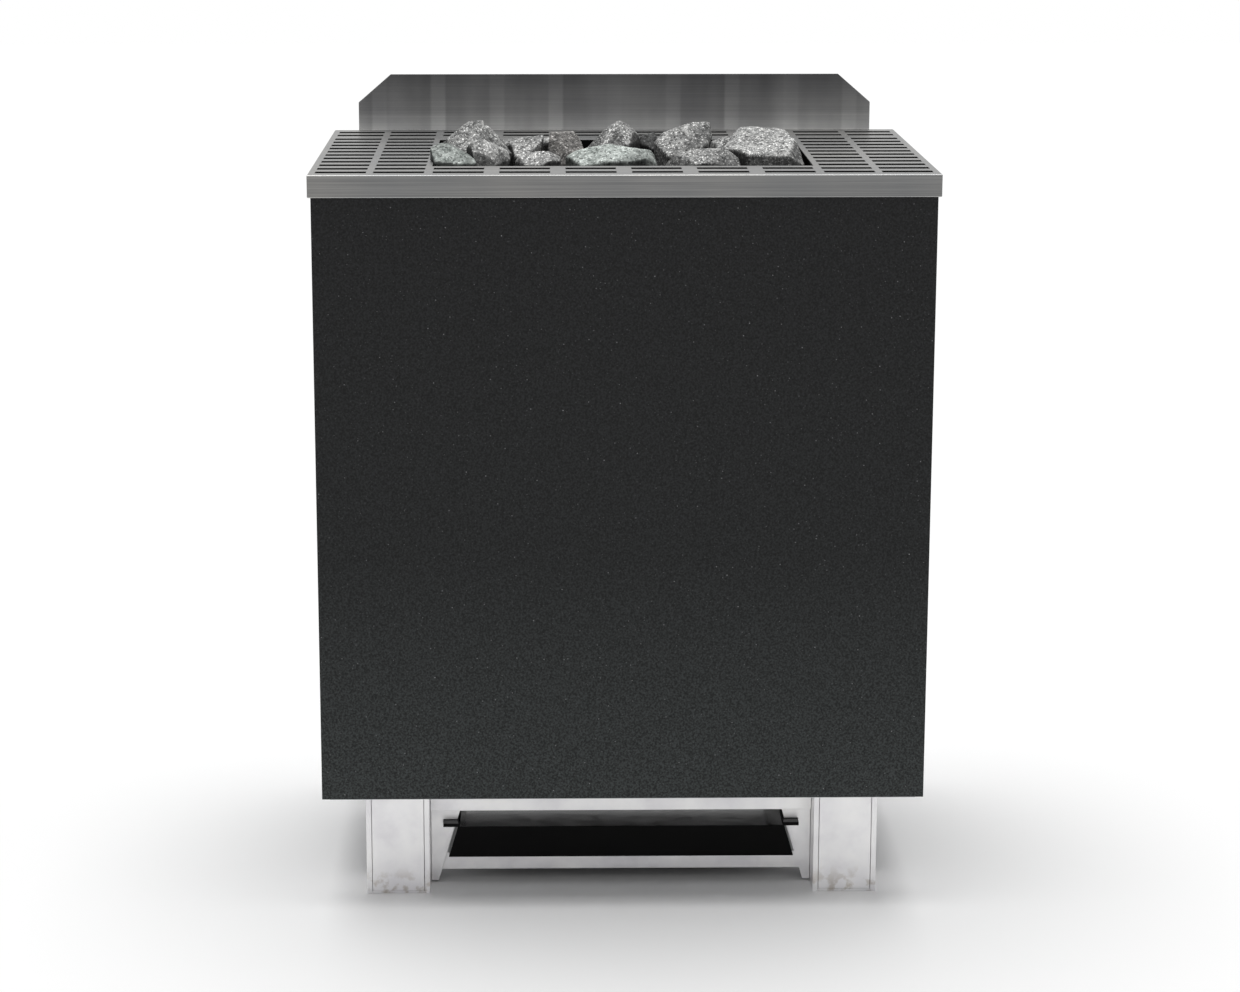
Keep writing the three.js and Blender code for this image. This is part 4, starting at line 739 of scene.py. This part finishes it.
def rubble(name):
    """A mass on the basket floor: over a grid of x and y the height is the highest of many tilted domes,
    one for each lower stone, roughened; its outer rows drop to the floor, which one flat face closes."""
    rng = np.random.default_rng(RUBBLE_SEED)
    size = np.array(bed_high) - np.array(bed_low)
    across, back = int(round(size[0] / RUBBLE_PITCH)), int(round(size[1] / RUBBLE_PITCH))
    spots = np.stack(np.meshgrid(np.arange(across), np.arange(back), indexing="ij"), axis=-1)
    spots = spots.reshape(-1, 2)
    spots = (spots + 0.5 + rng.uniform(-RUBBLE_STRAY, RUBBLE_STRAY, spots.shape)) / (across, back)
    middles = np.array(bed_low)[:2] + spots * size[:2]
    radii = RUBBLE_PITCH * rng.uniform(*RUBBLE_RADII, len(middles))
    tops = size[2] * rng.uniform(*RUBBLE_TOPS, len(middles))
    turn = rng.uniform(0, np.pi, len(middles))
    tilt = rng.uniform(-RUBBLE_TILT, RUBBLE_TILT, (len(middles), 2))
    x = np.concatenate([[bed_low.x], np.linspace(bed_low.x, bed_high.x, BED_COLUMNS), [bed_high.x]])
    y = np.concatenate([[bed_low.y], np.linspace(bed_low.y, bed_high.y, BED_ROWS), [bed_high.y]])
    plan = np.stack(np.meshgrid(x, y, indexing="ij"), axis=-1)
    away = plan[:, :, None] - middles
    along = away[..., 0] * np.cos(turn) + away[..., 1] * np.sin(turn)
    aside = away[..., 1] * np.cos(turn) - away[..., 0] * np.sin(turn)
    aside = aside / RUBBLE_WIDTH
    reach = np.abs([along / radii, aside / radii]) ** RUBBLE_SQUARENESS
    round_off = reach.sum(axis=0).clip(0, 1)
    crowns = RUBBLE_EDGE + (1 - RUBBLE_EDGE) * np.sqrt(1 - round_off)
    domes = tops * crowns + np.sum(away * tilt, axis=-1)
    height = np.where(round_off < 1, domes, RUBBLE_GAP * size[2]).max(axis=-1)
    points = np.concatenate([plan, (bed_low.z + height)[..., None]], axis=-1)
    height += LUMP_HEIGHT * fracture(points, LUMP_SIZE, LUMP_SEED)
    height += GRIT_HEIGHT * fracture(points, GRIT_SIZE, GRIT_SEED)
    top = np.minimum(bed_low.z + height, bed_high.z)
    top[[0, -1]] = bed_low.z
    top[:, [0, -1]] = bed_low.z
    points = np.concatenate([plan, top[..., None]], axis=-1).reshape(-1, 3)
    index = np.arange(len(points)).reshape(len(x), len(y))
    quads = np.stack([index[:-1, :-1], index[1:, :-1], index[1:, 1:], index[:-1, 1:]], axis=-1)
    edge = np.concatenate([index[:-1, 0], index[-1, :-1], index[:0:-1, -1], index[0, :0:-1]])
    piece = new_piece(name, points, [*quads.reshape(-1, 4).tolist(), edge[::-1].tolist()])
    # Painted shade: the bed is painted darker low down between the stones and lighter on their tops.
    painted_shading_and_wear = (points[:, 2] - bed_low.z) / size[2]
    piece.data.attributes.new("painted_shading_and_wear", "FLOAT", "POINT").data.foreach_set("value", painted_shading_and_wear)
    return piece


# Painted shade: the same kind of rock, painted dark for the shade of the upper stones.
shaded_rock = stone_finish(
    "shaded rock", shade=(0.055, 0.056, 0.055), body=(0.115, 0.116, 0.114),
    light=(0.21, 0.21, 0.207), flecks=(0.28, 0.28, 0.275),
)
lower_stones = rubble("lower_stones")
lower_stones.data.materials.append(shaded_rock)
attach(lower_stones, "heater")
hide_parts("stone_bed")
dress(["stone_bed"], shaded_rock)

# Studio floor: a wide white matt sheet, laid flat under the feet. It isn't part of the heater and only
# keeps its soft shadow.
FLOOR_HALF = 9.0

floor_corners = FLOOR_HALF * np.array([(-1, -1, 0), (1, -1, 0), (1, 1, 0), (-1, 1, 0)])
studio_floor = new_piece("studio_floor", floor_corners, [(0, 1, 2, 3)])
white_sheet, tree, shader = new_finish("white studio sheet")
shader.inputs["Base Color"].default_value = (0.97, 0.97, 0.97, 1)
shader.inputs["Roughness"].default_value = 0.9
shader.inputs["Specular IOR Level"].default_value = 0.0
studio_floor.data.materials.append(white_sheet)

# Studio light: a white room that fills the shade, and one broad soft lamp high over the heater and a
# little behind it.
ROOM_FILL = 0.39
LAMP_LEVEL = 2.15
LAMP_SPREAD = 50.0
LAMP_TILT, LAMP_TURN = 6.0, -160.0

room = bpy.data.worlds.new("white studio")
bpy.context.scene.world = room
room.use_nodes = True
tree = room.node_tree
path = tree.nodes.new("ShaderNodeLightPath")
seen = counted(tree, "MAXIMUM", path.outputs["Is Camera Ray"], path.outputs["Is Glossy Ray"])
seen = counted(tree, "MAXIMUM", seen, path.outputs["Is Transmission Ray"])
background = tree.nodes["Background"]
background.inputs["Color"].default_value = (1, 1, 1, 1)
tree.links.new(between(tree, seen, ROOM_FILL, 1.0, 0.0, 1.0), background.inputs["Strength"])

lamp = bpy.data.lights.new("overhead softbox", "SUN")
lamp.energy = LAMP_LEVEL
lamp.angle = math.radians(LAMP_SPREAD)
softbox = bpy.data.objects.new("overhead softbox", lamp)
softbox.rotation_euler = (math.radians(LAMP_TILT), 0, math.radians(LAMP_TURN))
bpy.context.scene.collection.objects.link(softbox)

# Camera: in front of the heater, a little to the left of its middle and above the rim, and tilted down
# on it.
CAMERA_PLACE = (-0.0668, -2.5002, 0.8930)
CAMERA_DOWN, CAMERA_RIGHT = 12.390, 0.829
CAMERA_LENS, CAMERA_SENSOR = 86.122, 36.0
CAMERA_SHIFT = (0.03, -0.03)

lens = bpy.data.cameras.new("photo camera")
lens.sensor_width = CAMERA_SENSOR
lens.lens = CAMERA_LENS
lens.shift_x, lens.shift_y = CAMERA_SHIFT
camera = bpy.data.objects.new("photo camera", lens)
camera.location = CAMERA_PLACE
camera.rotation_euler = (math.radians(90 - CAMERA_DOWN), 0, math.radians(-CAMERA_RIGHT))
bpy.context.scene.collection.objects.link(camera)
bpy.context.scene.camera = camera
bpy.context.scene.view_settings.view_transform = "Standard"
